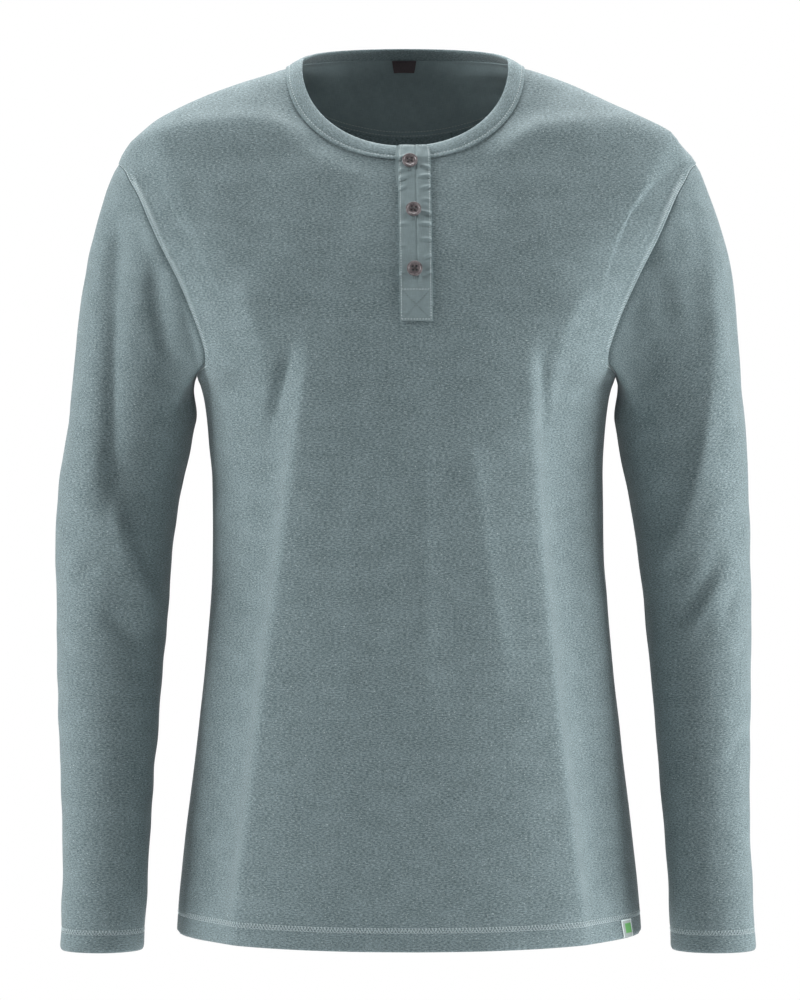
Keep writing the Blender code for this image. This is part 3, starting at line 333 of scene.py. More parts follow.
class HenleySewing(bpy.types.PropertyGroup):
    """Threads and stitch lengths."""

    needle_pitch: length("Needle pitch", "From one straight stitch to the next", 2.6)
    thread_width: length("Thread width", "Width of a sewing thread", 0.44)
    thread_colour: colour("Thread", "Thread of the jersey's seams", (0.50, 0.59, 0.61))
    topstitch_width: length("Topstitch width", "Width of the rows that show as dots", 0.6)
    topstitch_colour: colour("Topstitch", "Thread of those rows", (0.60, 0.68, 0.70))
    cross_thread_colour: colour("Cross thread", "Darker thread on the placket", (0.10, 0.135, 0.145))
    button_thread_colour: colour("Button thread", "Thread of the buttons", (0.04, 0.036, 0.038))


class HenleyButtons(bpy.types.PropertyGroup):
    """Sizes and colours of the buttons."""

    diameter: length("Diameter", "Across a button", 12.0)
    thickness: length("Thickness", "From a button's back to its rim", 2.6)
    rim: length("Rim", "Width of the raised rim", 1.7)
    dish: length("Dish", "Depth of the middle below the rim", 0.8)
    hole: length("Thread hole", "Across one thread hole", 1.9)
    hole_spacing: length("Hole spacing", "Between the thread holes", 2.8)
    light_colour: colour("Light horn", "Light veins of the buttons", (0.21, 0.185, 0.19))
    dark_colour: colour("Dark horn", "Dark cloud of the buttons", (0.075, 0.063, 0.068))


class HenleyStage(bpy.types.PropertyGroup):
    """Floor, lights and camera."""

    floor_colour: colour("Floor", "Pale floor", (0.86, 0.86, 0.86))
    light_power: bpy.props.FloatProperty(
        name="Lights", description="Power of all the lights together", default=320.0, unit="POWER"
    )
    world_light: bpy.props.FloatProperty(
        name="World light", description="Strength of the light all round", default=0.04, min=0.0
    )


# ---- numbers and curves


def hermite(t, start, leave, end, arrive):
    """The cubic that goes from start to end as t goes from 0 to 1, by its slopes there."""
    return (
        start * (2 * t**3 - 3 * t**2 + 1)
        + leave * (t**3 - 2 * t**2 + t)
        + end * (3 * t**2 - 2 * t**3)
        + arrive * (t**3 - t**2)
    )


def smooth_table(places, values, at):
    """Reads a shape-keeping cubic through (places, values) at any array of places."""
    order = np.argsort(places)
    x = np.asarray(places, float)[order]
    y = np.asarray(values, float)[order]
    at = np.clip(np.asarray(at, float), x[0], x[-1])
    step = np.diff(x)
    rise = np.diff(y) / step
    slope = np.empty_like(y)
    slope[0] = rise[0]
    slope[-1] = rise[-1]
    before, after = rise[:-1], rise[1:]
    weight_a = 2 * step[1:] + step[:-1]
    weight_b = step[1:] + 2 * step[:-1]
    same = before * after > 0
    safe_before = np.where(same, before, 1.0)
    safe_after = np.where(same, after, 1.0)
    mean = (weight_a + weight_b) / (weight_a / safe_before + weight_b / safe_after)
    slope[1:-1] = np.where(same, mean, 0.0)
    cell = np.clip(np.searchsorted(x, at, side="right") - 1, 0, len(step) - 1)
    t = (at - x[cell]) / step[cell]
    leave = slope[cell] * step[cell]
    arrive = slope[cell + 1] * step[cell]
    return hermite(t, y[cell], leave, y[cell + 1], arrive)


def column(table, name, at):
    """One named column of a table with a z column, read smoothly at the heights given."""
    return smooth_table([row.z for row in table], [getattr(row, name) for row in table], at)


def body_at(name, at):
    """One named size of the body's form at the heights given."""
    return column(BODY_SECTIONS, name, at)


def lengths_along(points, axis=0):
    """Distance along each line of points that runs down an axis, from its first point."""
    total = np.cumsum(np.linalg.norm(np.diff(points, axis=axis), axis=-1), axis=axis)
    return np.concatenate([np.zeros_like(np.take(total, [0], axis)), total], axis)


def resample(line, shares, values=None):
    """A polyline's points, or other values at them, read at shares of its length."""
    values = line if values is None else values
    along = lengths_along(line)
    return np.stack([np.interp(shares * along[-1], along, part) for part in values.T], 1)


def evenly(line, spans):
    """Points that divide a polyline into equal spans."""
    return resample(line, np.linspace(0, 1, spans + 1))


CURVE_SPAN = 24


def curve_through(points):
    """A Catmull-Rom curve through the points, as a fine polyline."""
    points = np.asarray(points, float)
    ends = np.vstack([2 * points[0] - points[1], points, 2 * points[-1] - points[-2]])
    t = (np.arange(CURVE_SPAN) / CURVE_SPAN)[:, None]
    out = []
    for a, b, c, d in zip(ends, ends[1:], ends[2:], ends[3:]):
        square = (2 * a - 5 * b + 4 * c - d) * t**2
        cube = (3 * b - 3 * c + d - a) * t**3
        out.append(0.5 * (2 * b + (c - a) * t + square + cube))
    return np.vstack(out + [points[-1:]])


def soft_step(value):
    """0 below 0, 1 above 1, with a smooth rise between them."""
    t = np.clip(value, 0.0, 1.0)
    return t * t * (3 - 2 * t)


def bump(distance, half_width):
    """A soft hump: 1 at distance 0, near 0 past twice the half width."""
    return np.exp(-((np.asarray(distance) / half_width) ** 2))


def unit(vectors):
    """Vectors scaled to length one."""
    vectors = np.asarray(vectors, float)
    return vectors / np.maximum(np.linalg.norm(vectors, axis=-1, keepdims=True), TINY)


RIPPLE_WAVES = 9
RIPPLE_PITCHES = (0.6, 1.6)


def ripple(across, down, wavelength, seed):
    """An uneven, gently rolling field between about -1 and 1."""
    random = np.random.default_rng(seed)
    total = np.zeros(np.broadcast(across, down).shape)
    for _ in range(RIPPLE_WAVES):
        angle = random.uniform(0, math.pi)
        pitch = wavelength * random.uniform(*RIPPLE_PITCHES)
        phase = random.uniform(0, 2 * math.pi)
        line = across * math.cos(angle) + down * math.sin(angle)
        total += np.sin(2 * math.pi * line / pitch + phase)
    return total / math.sqrt(RIPPLE_WAVES)


# ---- the body's form


def body_level(points):
    """0 on the body's form, below 0 inside it. Each height has a squared-off ellipse."""
    x, y, z = points[..., 0], points[..., 1], points[..., 2]
    middle_y = body_at("centre_y", z)
    depth = np.where(y > middle_y, body_at("back_depth", z), body_at("front_depth", z))
    power = body_at("squareness", z)
    across = np.abs(x - body_at("centre_x", z)) / body_at("half_width", z)
    return across**power + (np.abs(y - middle_y) / depth) ** power - 1


SLOPE_REACH = 0.05
ONTO_ROUNDS = 9
ONTO_LONGEST_MOVE = 12.0


def body_slope(points):
    """The gradient of the body's form."""
    slope = np.empty_like(points)
    for axis in range(3):
        shift = np.zeros(3)
        shift[axis] = SLOPE_REACH
        rise = body_level(points + shift) - body_level(points - shift)
        slope[..., axis] = rise / (2 * SLOPE_REACH)
    return slope


def onto_body(points):
    """Moves points along the form's gradient until they lie on it."""
    points = np.array(points, float)
    for _ in range(ONTO_ROUNDS):
        slope = body_slope(points)
        size = np.maximum((slope**2).sum(-1, keepdims=True), TINY)
        move = body_level(points)[..., None] * slope / size
        reach = np.linalg.norm(move, axis=-1, keepdims=True)
        points -= move * np.minimum(1.0, ONTO_LONGEST_MOVE / np.maximum(reach, TINY))
    return points


def on_body(x, z, facing):
    """The point of the form at (x, z), on its front (-1) or its back (+1)."""
    x, z = np.broadcast_arrays(np.asarray(x, float), np.asarray(z, float))
    name = "back_depth" if facing > 0 else "front_depth"
    power = body_at("squareness", z)
    across = np.abs(x - body_at("centre_x", z)) / body_at("half_width", z)
    share = np.clip(1 - across**power, 0, 1) ** (1 / power)
    depth = body_at(name, z) * share
    return np.stack([x, body_at("centre_y", z) + facing * depth, z], -1)


def edge_points(half, heights):
    """Points where the form reaches furthest to one side, at the heights given."""
    z = np.asarray(heights, float)
    x = body_at("centre_x", z) + half * body_at("half_width", z)
    return np.stack([x, body_at("centre_y", z), z], -1)


# ---- folds


def fold_path(fold):
    """The fold's line as a polyline in (x, z)."""
    t = np.linspace(0, 1, FOLD_SAMPLES)[:, None]
    start = np.array([fold.start_x, fold.start_z])
    middle = np.array([fold.bend_x, fold.bend_z])
    end = np.array([fold.end_x, fold.end_z])
    bend = 2 * middle - 0.5 * (start + end)
    return (1 - t) ** 2 * start + 2 * t * (1 - t) * bend + t**2 * end


def fold_height(fold, x, z):
    """How far a fold lifts the cloth at each (x, z)."""
    path = fold_path(fold)
    best = np.full(x.shape, np.inf)
    share = np.zeros(x.shape)
    offside = np.zeros(x.shape)
    spans = len(path) - 1
    for k in range(spans):
        (ax, az), (bx, bz) = path[k], path[k + 1]
        span = math.hypot(bx - ax, bz - az)
        ux, uz = (bx - ax) / span, (bz - az) / span
        run = np.clip((x - ax) * ux + (z - az) * uz, 0, span)
        gap = np.hypot(x - ax - run * ux, z - az - run * uz)
        nearer = gap < best
        best = np.where(nearer, gap, best)
        share = np.where(nearer, (k + run / span) / spans, share)
        offside = np.where(nearer, (x - ax) * uz - (z - az) * ux, offside)
    sharp = fold.kind in ("crest", "step")
    end_share = CREST_END_SHARE if sharp else FOLD_END_SHARE
    ends = soft_step(share / end_share) * soft_step((1 - share) / end_share)
    if not sharp:
        return fold.height * ends * bump(best, fold.half_width)
    top = CREST_ROUND_SHARE * fold.half_width
    far = np.sqrt(best**2 + top**2) - top
    if fold.kind == "step":
        fall = (1 - np.exp(-far / fold.half_width)) * bump(far, fold.reach)
        return fold.height * ends * np.where(offside > 0, fall, 0.0)
    return fold.height * ends * np.exp(-far / np.where(offside > 0, fold.half_width, fold.reach))


def fold_relief(folds, points, normals):
    """The summed lift of all folds, each only on the side of the garment that it is on."""
    relief = np.zeros(points.shape[:-1])
    for fold in folds:
        facing = soft_step(0.5 + FOLD_FACING * fold.facing * normals[..., 1])
        relief += facing * fold_height(fold, points[..., 0], points[..., 2])
    return relief


# ---- sheets

CLOTH_UV = "Cloth"
SHARP_RIM_ANGLE = 50


def grid_normals(grid, outward, closed=False):
    """Normals of a grid of points (columns, rows); outward is +1 or -1."""
    if closed:
        across = np.roll(grid, -1, 0) - np.roll(grid, 1, 0)
    else:
        across = np.gradient(grid, axis=0)
    down = np.gradient(grid, axis=1)
    return unit(np.cross(down, across)) * outward


def outward_sign(grid, outwards, closed=False):
    """+1 where a grid's own normals mostly point along the outward directions, or else -1."""
    return 1 if (grid_normals(grid, 1, closed) * outwards).sum() > 0 else -1


def between_cells(values, column_at, row_at):
    """A grid's values read between its columns and rows, both counted in cells."""
    i = np.clip(np.floor(column_at).astype(int), 0, values.shape[0] - 2)
    j = np.clip(np.floor(row_at).astype(int), 0, values.shape[1] - 2)
    a = (column_at - i)[..., None]
    b = (row_at - j)[..., None]
    upper = (1 - a) * values[i, j] + a * values[i + 1, j]
    lower = (1 - a) * values[i, j + 1] + a * values[i + 1, j + 1]
    return (1 - b) * upper + b * lower


def rows_at(points, lengths):
    """For each column of a grid, the rows in cells at the given lengths from its first row."""
    rows = np.arange(points.shape[1])
    along = lengths_along(points, 1)
    lengths = np.broadcast_to(lengths, (len(points), np.shape(lengths)[-1]))
    return np.array([np.interp(want, at, rows) for want, at in zip(lengths, along)])


def read_rows(points, normals, rows):
    """A grid's points and normals at some rows, in cells, of each of its columns."""
    columns = np.arange(len(points), dtype=float)[:, None]
    return between_cells(points, columns, rows), unit(between_cells(normals, columns, rows))


def inset_line(points, normals, distance):
    """The line at a distance, or distances, in from a grid's first row, with its normals."""
    lengths = np.broadcast_to(distance, (len(points),))[:, None]
    line, up = read_rows(points, normals, rows_at(points, lengths))
    return line[:, 0], up[:, 0]


def edge_distance(grid):
    """How far each point of a grid is, along its row, from the nearer side edge."""
    along = lengths_along(grid)
    return np.minimum(along, along[-1] - along)


def distance_to(line, grid):
    """The distance from each point of a grid to a polyline's points."""
    tree = kdtree.KDTree(len(line))
    for index, point in enumerate(line):
        tree.insert(point, index)
    tree.balance()
    flat = grid.reshape(-1, 3)
    return np.array([tree.find(point)[2] for point in flat]).reshape(grid.shape[:-1])


def make_sheet(name, outer, normals, thickness, uv, material, closed=False, missing=None):
    """A thin closed shell: an outer grid, an inner one behind it, and a rim round free edges.

    outer and normals are in millimetres, uv in metres. A closed grid joins its last column to
    its first, and its uv has one more column. missing marks the cells that are left out.
    """
    columns, rows = outer.shape[:2]
    total = columns * rows
    spans = columns if closed else columns - 1
    i, j = np.meshgrid(np.arange(spans), np.arange(rows - 1), indexing="ij")
    keep = np.ones(i.shape, bool) if missing is None else ~missing
    i, j = i[keep], j[keep]
    corner_i = np.stack([i, i + 1, i + 1, i], -1)
    corner_j = np.stack([j, j, j + 1, j + 1], -1)
    quads = (corner_i % columns) * rows + corner_j
    quad_uv = uv[corner_i, corner_j]
    flat = outer.reshape(-1, 3)
    lean = normals.reshape(-1, 3)
    facing = np.cross(flat[quads[:, 2]] - flat[quads[:, 0]], flat[quads[:, 3]] - flat[quads[:, 1]])
    if (facing * lean[quads[:, 0]]).sum() < 0:
        quads = quads[:, ::-1]
        quad_uv = quad_uv[:, ::-1]
    start = quads.ravel()
    stop = np.roll(quads, -1, 1).ravel()
    uv_start = quad_uv.reshape(-1, 2)
    uv_stop = np.roll(quad_uv, -1, 1).reshape(-1, 2)
    free = ~np.isin(stop * total + start, start * total + stop)
    rim = np.stack([stop, start, start + total, stop + total], 1)[free]
    rim_uv = np.stack([uv_stop, uv_start, uv_start, uv_stop], 1)[free]
    faces = np.vstack([quads, quads[:, ::-1] + total, rim])
    face_uv = np.concatenate([quad_uv, quad_uv[:, ::-1], rim_uv])
    points = np.vstack([flat, flat - lean * np.reshape(thickness, (-1, 1))])
    used, faces = np.unique(faces, return_inverse=True)
    return make_mesh(name, points[used] * MM, faces.reshape(-1, 4).tolist(), material, face_uv)


def make_mesh(name, points, faces, material, face_uv=None):
    """A mesh object at the origin, in metres, shaded smooth; one with uv has sharp rims."""
    mesh = bpy.data.meshes.new(name)
    mesh.from_pydata(points.tolist(), [], faces)
    mesh.update()
    mesh.shade_smooth()
    if face_uv is not None:
        layer = mesh.uv_layers.new(name=CLOTH_UV)
        layer.data.foreach_set("uv", np.asarray(face_uv, np.float32).ravel())
        mesh.set_sharp_from_angle(angle=math.radians(SHARP_RIM_ANGLE))
    mesh.materials.append(material)
    made = bpy.data.objects.new(name, mesh)
    bpy.context.scene.collection.objects.link(made)
    return made


def finish_piece(piece, slot, *nodes):
    """Fastens a piece to the body and hides the solids it stands for. The slot is not used."""
    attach(piece, BODY)
    if nodes:
        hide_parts(*nodes)


# ---- stitches

# A stitch is a short rod of three rings: share of its length, width, and how far it sinks
StitchRing = namedtuple("StitchRing", "share scale sink")
STITCH_RINGS = [StitchRing(0.0, 0.45, 0.75), StitchRing(0.5, 1.0, 0.0), StitchRing(1.0, 0.45, 0.75)]
STITCH_SIDES = 5
STITCH_FLATNESS = 0.7
STITCH_FILL = 0.78


def make_stitches(name, strokes, width, material):
    """Joined stitch bodies. Each stroke is a start, an end and the cloth's normal there."""
    starts, ends, ups = (np.asarray(part, float) for part in zip(*strokes))
    along = unit(ends - starts)
    ups = unit(ups - along * (ups * along).sum(1, keepdims=True))
    half_width = 0.5 * width
    half_height = STITCH_FLATNESS * half_width
    turn = 2 * math.pi * np.arange(STITCH_SIDES) / STITCH_SIDES
    aside = np.cross(along, ups)[:, None] * (np.cos(turn) * half_width)[:, None]
    above = ups[:, None] * (np.sin(turn) * half_height)[:, None]
    rings = []
    for ring in STITCH_RINGS:
        middle = starts + (ends - starts) * ring.share - ups * ring.sink * half_height
        rings.append(middle[:, None] + (aside + above) * ring.scale)
    points = np.stack(rings, 1).reshape(-1, 3)
    first = np.arange(STITCH_SIDES)
    after = np.roll(first, -1)
    wall = np.stack([first, first + STITCH_SIDES, after + STITCH_SIDES, after], 1)
    one = [*wall, *(wall + STITCH_SIDES), first, first[::-1] + 2 * STITCH_SIDES]
    size = len(STITCH_RINGS) * STITCH_SIDES
    faces = [(face + start).tolist() for start in range(0, len(points), size) for face in one]
    return make_mesh(name, points * MM, faces, material)


def stitch_places(line, pitch):
    """The shares of a line's length at which its stitches start, and the share of a pitch."""
    count = max(2, int(round(lengths_along(line)[-1] / pitch)))
    return np.arange(count) / count, 1 / count


def row_of_stitches(line, normals, pitch, lift, fill=STITCH_FILL):
    """Straight stitches along a line, each fill of the pitch long, lifted off the cloth."""
    at, step = stitch_places(line, pitch)
    both = np.hstack([line, normals])
    start = resample(line, at, both)
    stop = resample(line, at + fill * step, both)
    up = unit(start[:, 3:])
    return list(zip(start[:, :3] + up * lift, stop[:, :3] + up * lift, up))


def zigzag(low, high, normals, pitch, lift):
    """Threads that run from one line to another and back, once in each pitch."""
    at, step = stitch_places(low, pitch)
    up = unit(resample(low, at, normals))
    start = resample(low, at) + up * lift
    turn = resample(high, at + 0.5 * step) + up * lift
    stop = resample(low, at + step) + up * lift
    return list(zip(start, turn, up)) + list(zip(turn, stop, up))


def ladder(low, high, normals, pitch, lean, lift):
    """Threads across from one line to another; lean moves their far ends along, in pitches."""
    at, step = stitch_places(low, pitch)
    at = at[1:-1]
    up = unit(resample(low, at, normals))
    stop = resample(high, np.clip(at + lean * step, 0, 1))
    return list(zip(resample(low, at) + up * lift, stop + up * lift, up))


# ---- seams of the body


def neckline(facing, half):
    """The body's neckline from the centre to the high shoulder point of one side."""
    return back_neckline(half) if facing > 0 else front_neckline(half)


def front_neckline(half):
    """A deep rounded curve, whose drop is measured from the high shoulder points."""
    middle = float(body_at("centre_x", NECK_SIDE_Z))
    lean = half * (FRONT_CENTRE_X - middle) / NECK_HALF_WIDTH
    first = math.asin(math.copysign(abs(lean) ** (NECK_ROUNDNESS / 2), lean))
    turn = np.linspace(first, math.pi / 2, SEAM_SAMPLES)
    sine = np.sign(np.sin(turn)) * np.abs(np.sin(turn)) ** (2 / NECK_ROUNDNESS)
    cosine = np.abs(np.cos(turn)) ** (2 / NECK_ROUNDNESS)
    cosine[-1] = 0.0
    x = middle + half * NECK_HALF_WIDTH * sine
    points = on_body(x, NECK_SIDE_Z - NECK_FRONT_DROP * cosine, -1)
    points[-1] = edge_points(half, NECK_SIDE_Z)
    return points


def back_neckline(half):
    """A shallow curve that rises from the high shoulder points to the nape."""
    turn = np.linspace(math.pi / 2, 0, SEAM_SAMPLES)
    z = NECK_SIDE_Z + NECK_BACK_RISE * np.sin(turn) ** NAPE_ROUNDNESS
    power = 2 / body_at("squareness", z)
    across = body_at("half_width", z) * np.abs(np.cos(turn)) ** power
    across[0] = 0.0
    behind = body_at("back_depth", z) * np.abs(np.sin(turn)) ** power
    x = body_at("centre_x", z) + half * across
    return np.stack([x, body_at("centre_y", z) + behind, z], 1)


@functools.cache
def armhole_line(facing, half):
    """One half of the armhole seam, from the shoulder tip to the underarm, as a fine line."""
    table = ARMHOLE_BACK if facing > 0 else ARMHOLE_FRONT
    middle = body_at("centre_x", [point.z for point in table])
    points = [edge_points(half, SHOULDER_TIP_Z)]
    points += [on_body(half * p.x + m, p.z, facing) for p, m in zip(table, middle)]
    points.append(edge_points(half, UNDERARM_Z))
    fine = curve_through(points)
    fine[1:-1] = onto_body(fine[1:-1])
    return fine


def hem_heights(upper_z, edge_z, turn, rows):
    """Heights of the rows from upper_z to a turned edge, closer together at its sewing."""
    near = edge_z + turn + HEM_NEAR
    above = np.linspace(upper_z, near, rows + 1)
    return np.concatenate([above, np.linspace(near, edge_z + HEM_ROLL, HEM_NEAR_ROWS)[1:]])


def outer_line(facing, half):
    """Shoulder seam, armhole and side seam in one line, a point for each row."""
    shoulder = edge_points(half, np.linspace(NECK_SIDE_Z, SHOULDER_TIP_Z, SEAM_SAMPLES))
    shoulder = evenly(shoulder, SHOULDER_ROWS)
    hole = evenly(armhole_line(facing, half), ARMHOLE_ROWS)
    heights = hem_heights(UNDERARM_Z, HEM_Z + HEM_SIDE_RISE, HEM_TURN, SIDE_ROWS)
    return np.vstack([shoulder[:-1], hole[:-1], edge_points(half, heights)])


def centre_line(facing, top):
    """The panel's centre line, a point for each row."""
    step = FRONT_ROW_STEP if facing < 0 else BACK_ROW_STEP
    upper = top[2] - step * np.arange(SHOULDER_ROWS + ARMHOLE_ROWS + 1)
    z = np.concatenate([upper, hem_heights(upper[-1], HEM_Z, HEM_TURN, SIDE_ROWS)[1:]])
    return on_body(np.full(len(z), top[0]), z, facing)


def column_shares():
    """Where the columns of a half panel start along the neckline and end along the hem."""
    slit = np.linspace(0, SLIT_SHARE, SLIT_COLUMNS + 1)
    main = np.linspace(SLIT_SHARE, EDGE_SHARE, MAIN_COLUMNS + 1)
    edge = np.linspace(EDGE_SHARE, 1.0, EDGE_COLUMNS + 1)
    return np.concatenate([slit[:-1], main[:-1], edge])


def half_panel(facing, half):
    """A grid of points from the centre line to one side, columns first."""
    top = neckline(facing, half)
    side = outer_line(facing, half)
    centre = centre_line(facing, top[0])
    hem_x = np.linspace(centre[-1, 0], side[-1, 0], SEAM_SAMPLES)
    rise = HEM_ROLL + HEM_SIDE_RISE * (hem_x / side[-1, 0]) ** 2
    hem = on_body(hem_x, HEM_Z + rise, facing)
    hem[-1] = side[-1]
    share = column_shares()
    top = resample(top, share)
    hem = resample(hem, share)
    down = (centre[:, 2] - centre[0, 2]) / (centre[-1, 2] - centre[0, 2])
    u = share[:, None, None]
    v = down[None, :, None]
    down_both = (1 - v) * top[:, None] + v * hem[:, None]
    across_both = (1 - u) * centre[None] + u * side[None]
    corners = (1 - v) * ((1 - u) * centre[0] + u * side[0])
    corners = corners + v * ((1 - u) * centre[-1] + u * side[-1])
    grid = down_both + across_both - corners
    grid[1:-1, 1:-1] = onto_body(grid[1:-1, 1:-1])
    if facing < 0:
        open_slit(grid, centre, half)
    return grid


def open_slit(grid, centre, half):
    """Shifts the columns near the centre so that one of them is the slit's straight edge."""
    shift = centre[1:, 0] + half * SLIT_HALF_WIDTH - grid[SLIT_COLUMNS, 1:, 0]
    for k in range(1, SLIT_COLUMNS + SLIT_EASE_COLUMNS):
        share = k / SLIT_COLUMNS
        if k > SLIT_COLUMNS:
            share = 1 - (k - SLIT_COLUMNS) / SLIT_EASE_COLUMNS
        grid[k, 1:] = on_body(grid[k, 1:, 0] + shift * share, grid[k, 1:, 2], -1)


# ---- front and back

SEAM_DIP = 0.55
SEAM_DIP_WIDTH = 1.3
ARMHOLE_BAND_WIDTH = 8.4
ARMHOLE_BAND_LIFT = 0.5
NECK_DIP = 0.7
NECK_DIP_WIDTH = 2.5
HEM_ROWS = (15.4, 18.9)
STITCH_DIP = 0.28
STITCH_DIP_WIDTH = 0.9
BODY_ROLL = 0.35
BODY_ROLL_LENGTH = 46.0
BODY_SEED = 5
ARMHOLE_BAND_START = 0.4
ARMHOLE_STEP = 1.0
HEM_ROUND_OFF = 0.5

# The rings that a panel's uv is measured on: their heights, their points from the centre to
# the side, and the one of those points at which the length down is measured
UV_TOP_Z = 24.0
UV_LOW_Z = -722.0
UV_RINGS = 150
UV_RING_POINTS = 90
UV_FALL_POINT = 28


def body_uv(grid, facing):
    """Lengths round the body from its centre and down it, in metres, at a grid's points."""
    heights = np.linspace(UV_TOP_Z, UV_LOW_Z, UV_RINGS)
    turn = np.linspace(0, math.pi / 2, UV_RING_POINTS)
    reach = body_at("half_width", heights)[:, None] * np.sin(turn)[None]
    middle = body_at("centre_x", heights)[:, None]
    ring = on_body(middle + reach, np.broadcast_to(heights[:, None], reach.shape), facing)
    round_length = lengths_along(ring, 1)
    fall_length = lengths_along(ring[:, UV_FALL_POINT, 1:])
    x, z = grid[..., 0], grid[..., 2]
    across = (x - body_at("centre_x", z)) / body_at("half_width", z)
    at_turn = np.arcsin(np.clip(np.abs(across), 0, 1)) / turn[-1] * (len(turn) - 1)
    at_height = (heights[0] - z) / (heights[0] - heights[-1]) * (len(heights) - 1)
    u = between_cells(round_length[..., None], at_height, at_turn)[..., 0]
    v = -np.interp(-z, -heights, fall_length)
    return np.stack([np.sign(across) * u, v], -1) * MM


def turn_up(points, normals, turn):
    """Adds the rows that fold round a hem's edge and run up inside it."""
    down = unit(points[:, -1] - points[:, -2])
    out = normals[:, -1]
    middle = points[:, -1] - out * HEM_ROLL
    rows = []
    for angle in np.linspace(0, math.pi, FOLD_ROUND_ROWS + 1)[1:]:
        rows.append(middle + HEM_ROLL * (out * math.cos(angle) + down * math.sin(angle)))
    points_up, normals_up = points[:, ::-1], normals[:, ::-1]
    lengths = np.linspace(0, turn, TURN_UP_ROWS + 1)[1:]
    base, lean = read_rows(points_up, normals_up, rows_at(points_up, lengths))
    return np.concatenate([points, np.stack(rows, 1), base - lean * 2 * HEM_ROLL], 1)


def turned_uv(uv, turn):
    """The uv of a sheet whose hem is turned up: the cloth simply runs on."""
    steps = [HEM_ROLL * math.pi / FOLD_ROUND_ROWS * MM] * FOLD_ROUND_ROWS
    steps += [turn / TURN_UP_ROWS * MM] * TURN_UP_ROWS
    more = uv[:, -1:] - np.stack([np.zeros(len(steps)), np.cumsum(steps)], 1)[None]
    return np.concatenate([uv, more], 1)


def hem_relief(height, rows):
    """The dips of two sewn rows and the soft round of a turned edge, by height above it."""
    dips = sum(bump(height - row, STITCH_DIP_WIDTH) for row in rows)
    inside = np.clip(HEM_ROUND - height, 0, HEM_ROUND)
    round_off = HEM_ROUND - np.sqrt(np.maximum(HEM_ROUND**2 - inside**2, 0))
    return -STITCH_DIP * dips - HEM_ROUND_OFF * round_off


@functools.cache
def panel_surface(facing):
    """A panel's outer points and normals above its turning, its uv and its missing cells."""
    left = half_panel(facing, -1)
    right = half_panel(facing, 1)
    grid = np.concatenate([left[::-1], right[1:]])
    outward = outward_sign(grid, (0, facing, 0))
    normals = grid_normals(grid, outward)
    edge = edge_distance(grid)
    armholes = np.vstack([close_points(armhole_line(facing, half)) for half in (-1, 1)])
    hole = distance_to(armholes, grid)
    below_neck = lengths_along(grid, 1)
    above_hem = below_neck[:, -1:] - below_neck + HEM_ROLL
    fade = soft_step(edge / BODY_FOLD_FADE) * soft_step(below_neck / BODY_FOLD_FADE)
    relief = fold_relief(BODY_FOLDS, grid, normals) * fade
    relief += fold_relief(BODY_STEPS, grid, normals) * soft_step(edge / BODY_STEP_FADE)
    roll = ripple(grid[..., 0], grid[..., 2], BODY_ROLL_LENGTH, BODY_SEED + facing)
    relief += BODY_ROLL * roll * fade
    relief -= SEAM_DIP * bump(edge, SEAM_DIP_WIDTH)
    relief -= NECK_DIP * bump(below_neck, NECK_DIP_WIDTH)
    band = soft_step(hole - ARMHOLE_BAND_START) * soft_step(ARMHOLE_BAND_WIDTH - hole)
    relief += ARMHOLE_BAND_LIFT * band
    relief += hem_relief(above_hem, HEM_ROWS)
    points = grid + normals * relief[..., None]
    points[..., 1] += facing * SEAM_GAP / 2
    missing = np.zeros((len(grid) - 1, grid.shape[1] - 1), bool)
    if facing < 0:
        middle = len(left) - 1
        missing[middle - SLIT_COLUMNS : middle + SLIT_COLUMNS, :SLIT_ROWS] = True
    return points, grid_normals(points, outward), body_uv(grid, facing), missing, outward


def close_points(line):
    """A line's points with others put between them, at most ARMHOLE_STEP apart."""
    out = [line[:1]]
    for a, b in zip(line, line[1:]):
        count = max(1, math.ceil(np.linalg.norm(b - a) / ARMHOLE_STEP))
        t = (np.arange(1, count + 1) / count)[:, None]
        out.append(a + (b - a) * t)
    return np.vstack(out)


def make_panel(name, facing, thickness, material):
    """The front (-1) or the back (+1), with its hem turned up inside."""
    points, normals, uv, missing, outward = panel_surface(facing)
    full = turn_up(points, normals, HEM_TURN)
    extra = full.shape[1] - points.shape[1]
    missing = np.pad(missing, ((0, 0), (0, extra)))
    lean = grid_normals(full, outward)
    return make_sheet(name, full, lean, thickness, turned_uv(uv, HEM_TURN), material, missing=missing)


# ---- sleeves

UNDERARM_DIP = 0.5
SLEEVE_ROLL = 0.3
SLEEVE_ROLL_LENGTH = 34.0
SLEEVE_SEED = 17
UNDERARM_SHARES = (0.9885, 0.994, 0.9975, 1.0)
CUFF_ROWS = (14.8, 18.0)
# The sleeve's seam allowance lies under the body: shift past the armhole, and sink below it
SLEEVE_TUCK = [(-3.0, 2.3), (-1.2, 2.0), (0.05, 1.3)]
SLEEVE_TUCK_STEP = 1.5
GRAIN_SETTLE_ABOVE = 60.0
GRAIN_TILT_CAP = 0.45
GRAIN_TILT_ARM = 0.05


def sleeve_ring(half, z, angle):
    """Points round the sleeve at height z; angle 0 is its outer side, pi its inner side."""
    name = "left" if half < 0 else "right"
    middle = column(SLEEVE_SECTIONS, name + "_x", z)
    reach = column(SLEEVE_SECTIONS, name + "_half", z)
    depth = column(SLEEVE_SECTIONS, "half_depth", z)
    power = 2 / SLEEVE_ROUNDNESS
    cosine = np.sign(np.cos(angle)) * np.abs(np.cos(angle)) ** power
    sine = np.sign(np.sin(angle)) * np.abs(np.sin(angle)) ** power
    x = half * (middle + reach * cosine)
    y = column(SLEEVE_SECTIONS, "centre_y", z) - depth * sine
    return np.stack(np.broadcast_arrays(x, y, np.asarray(z, float)), -1)


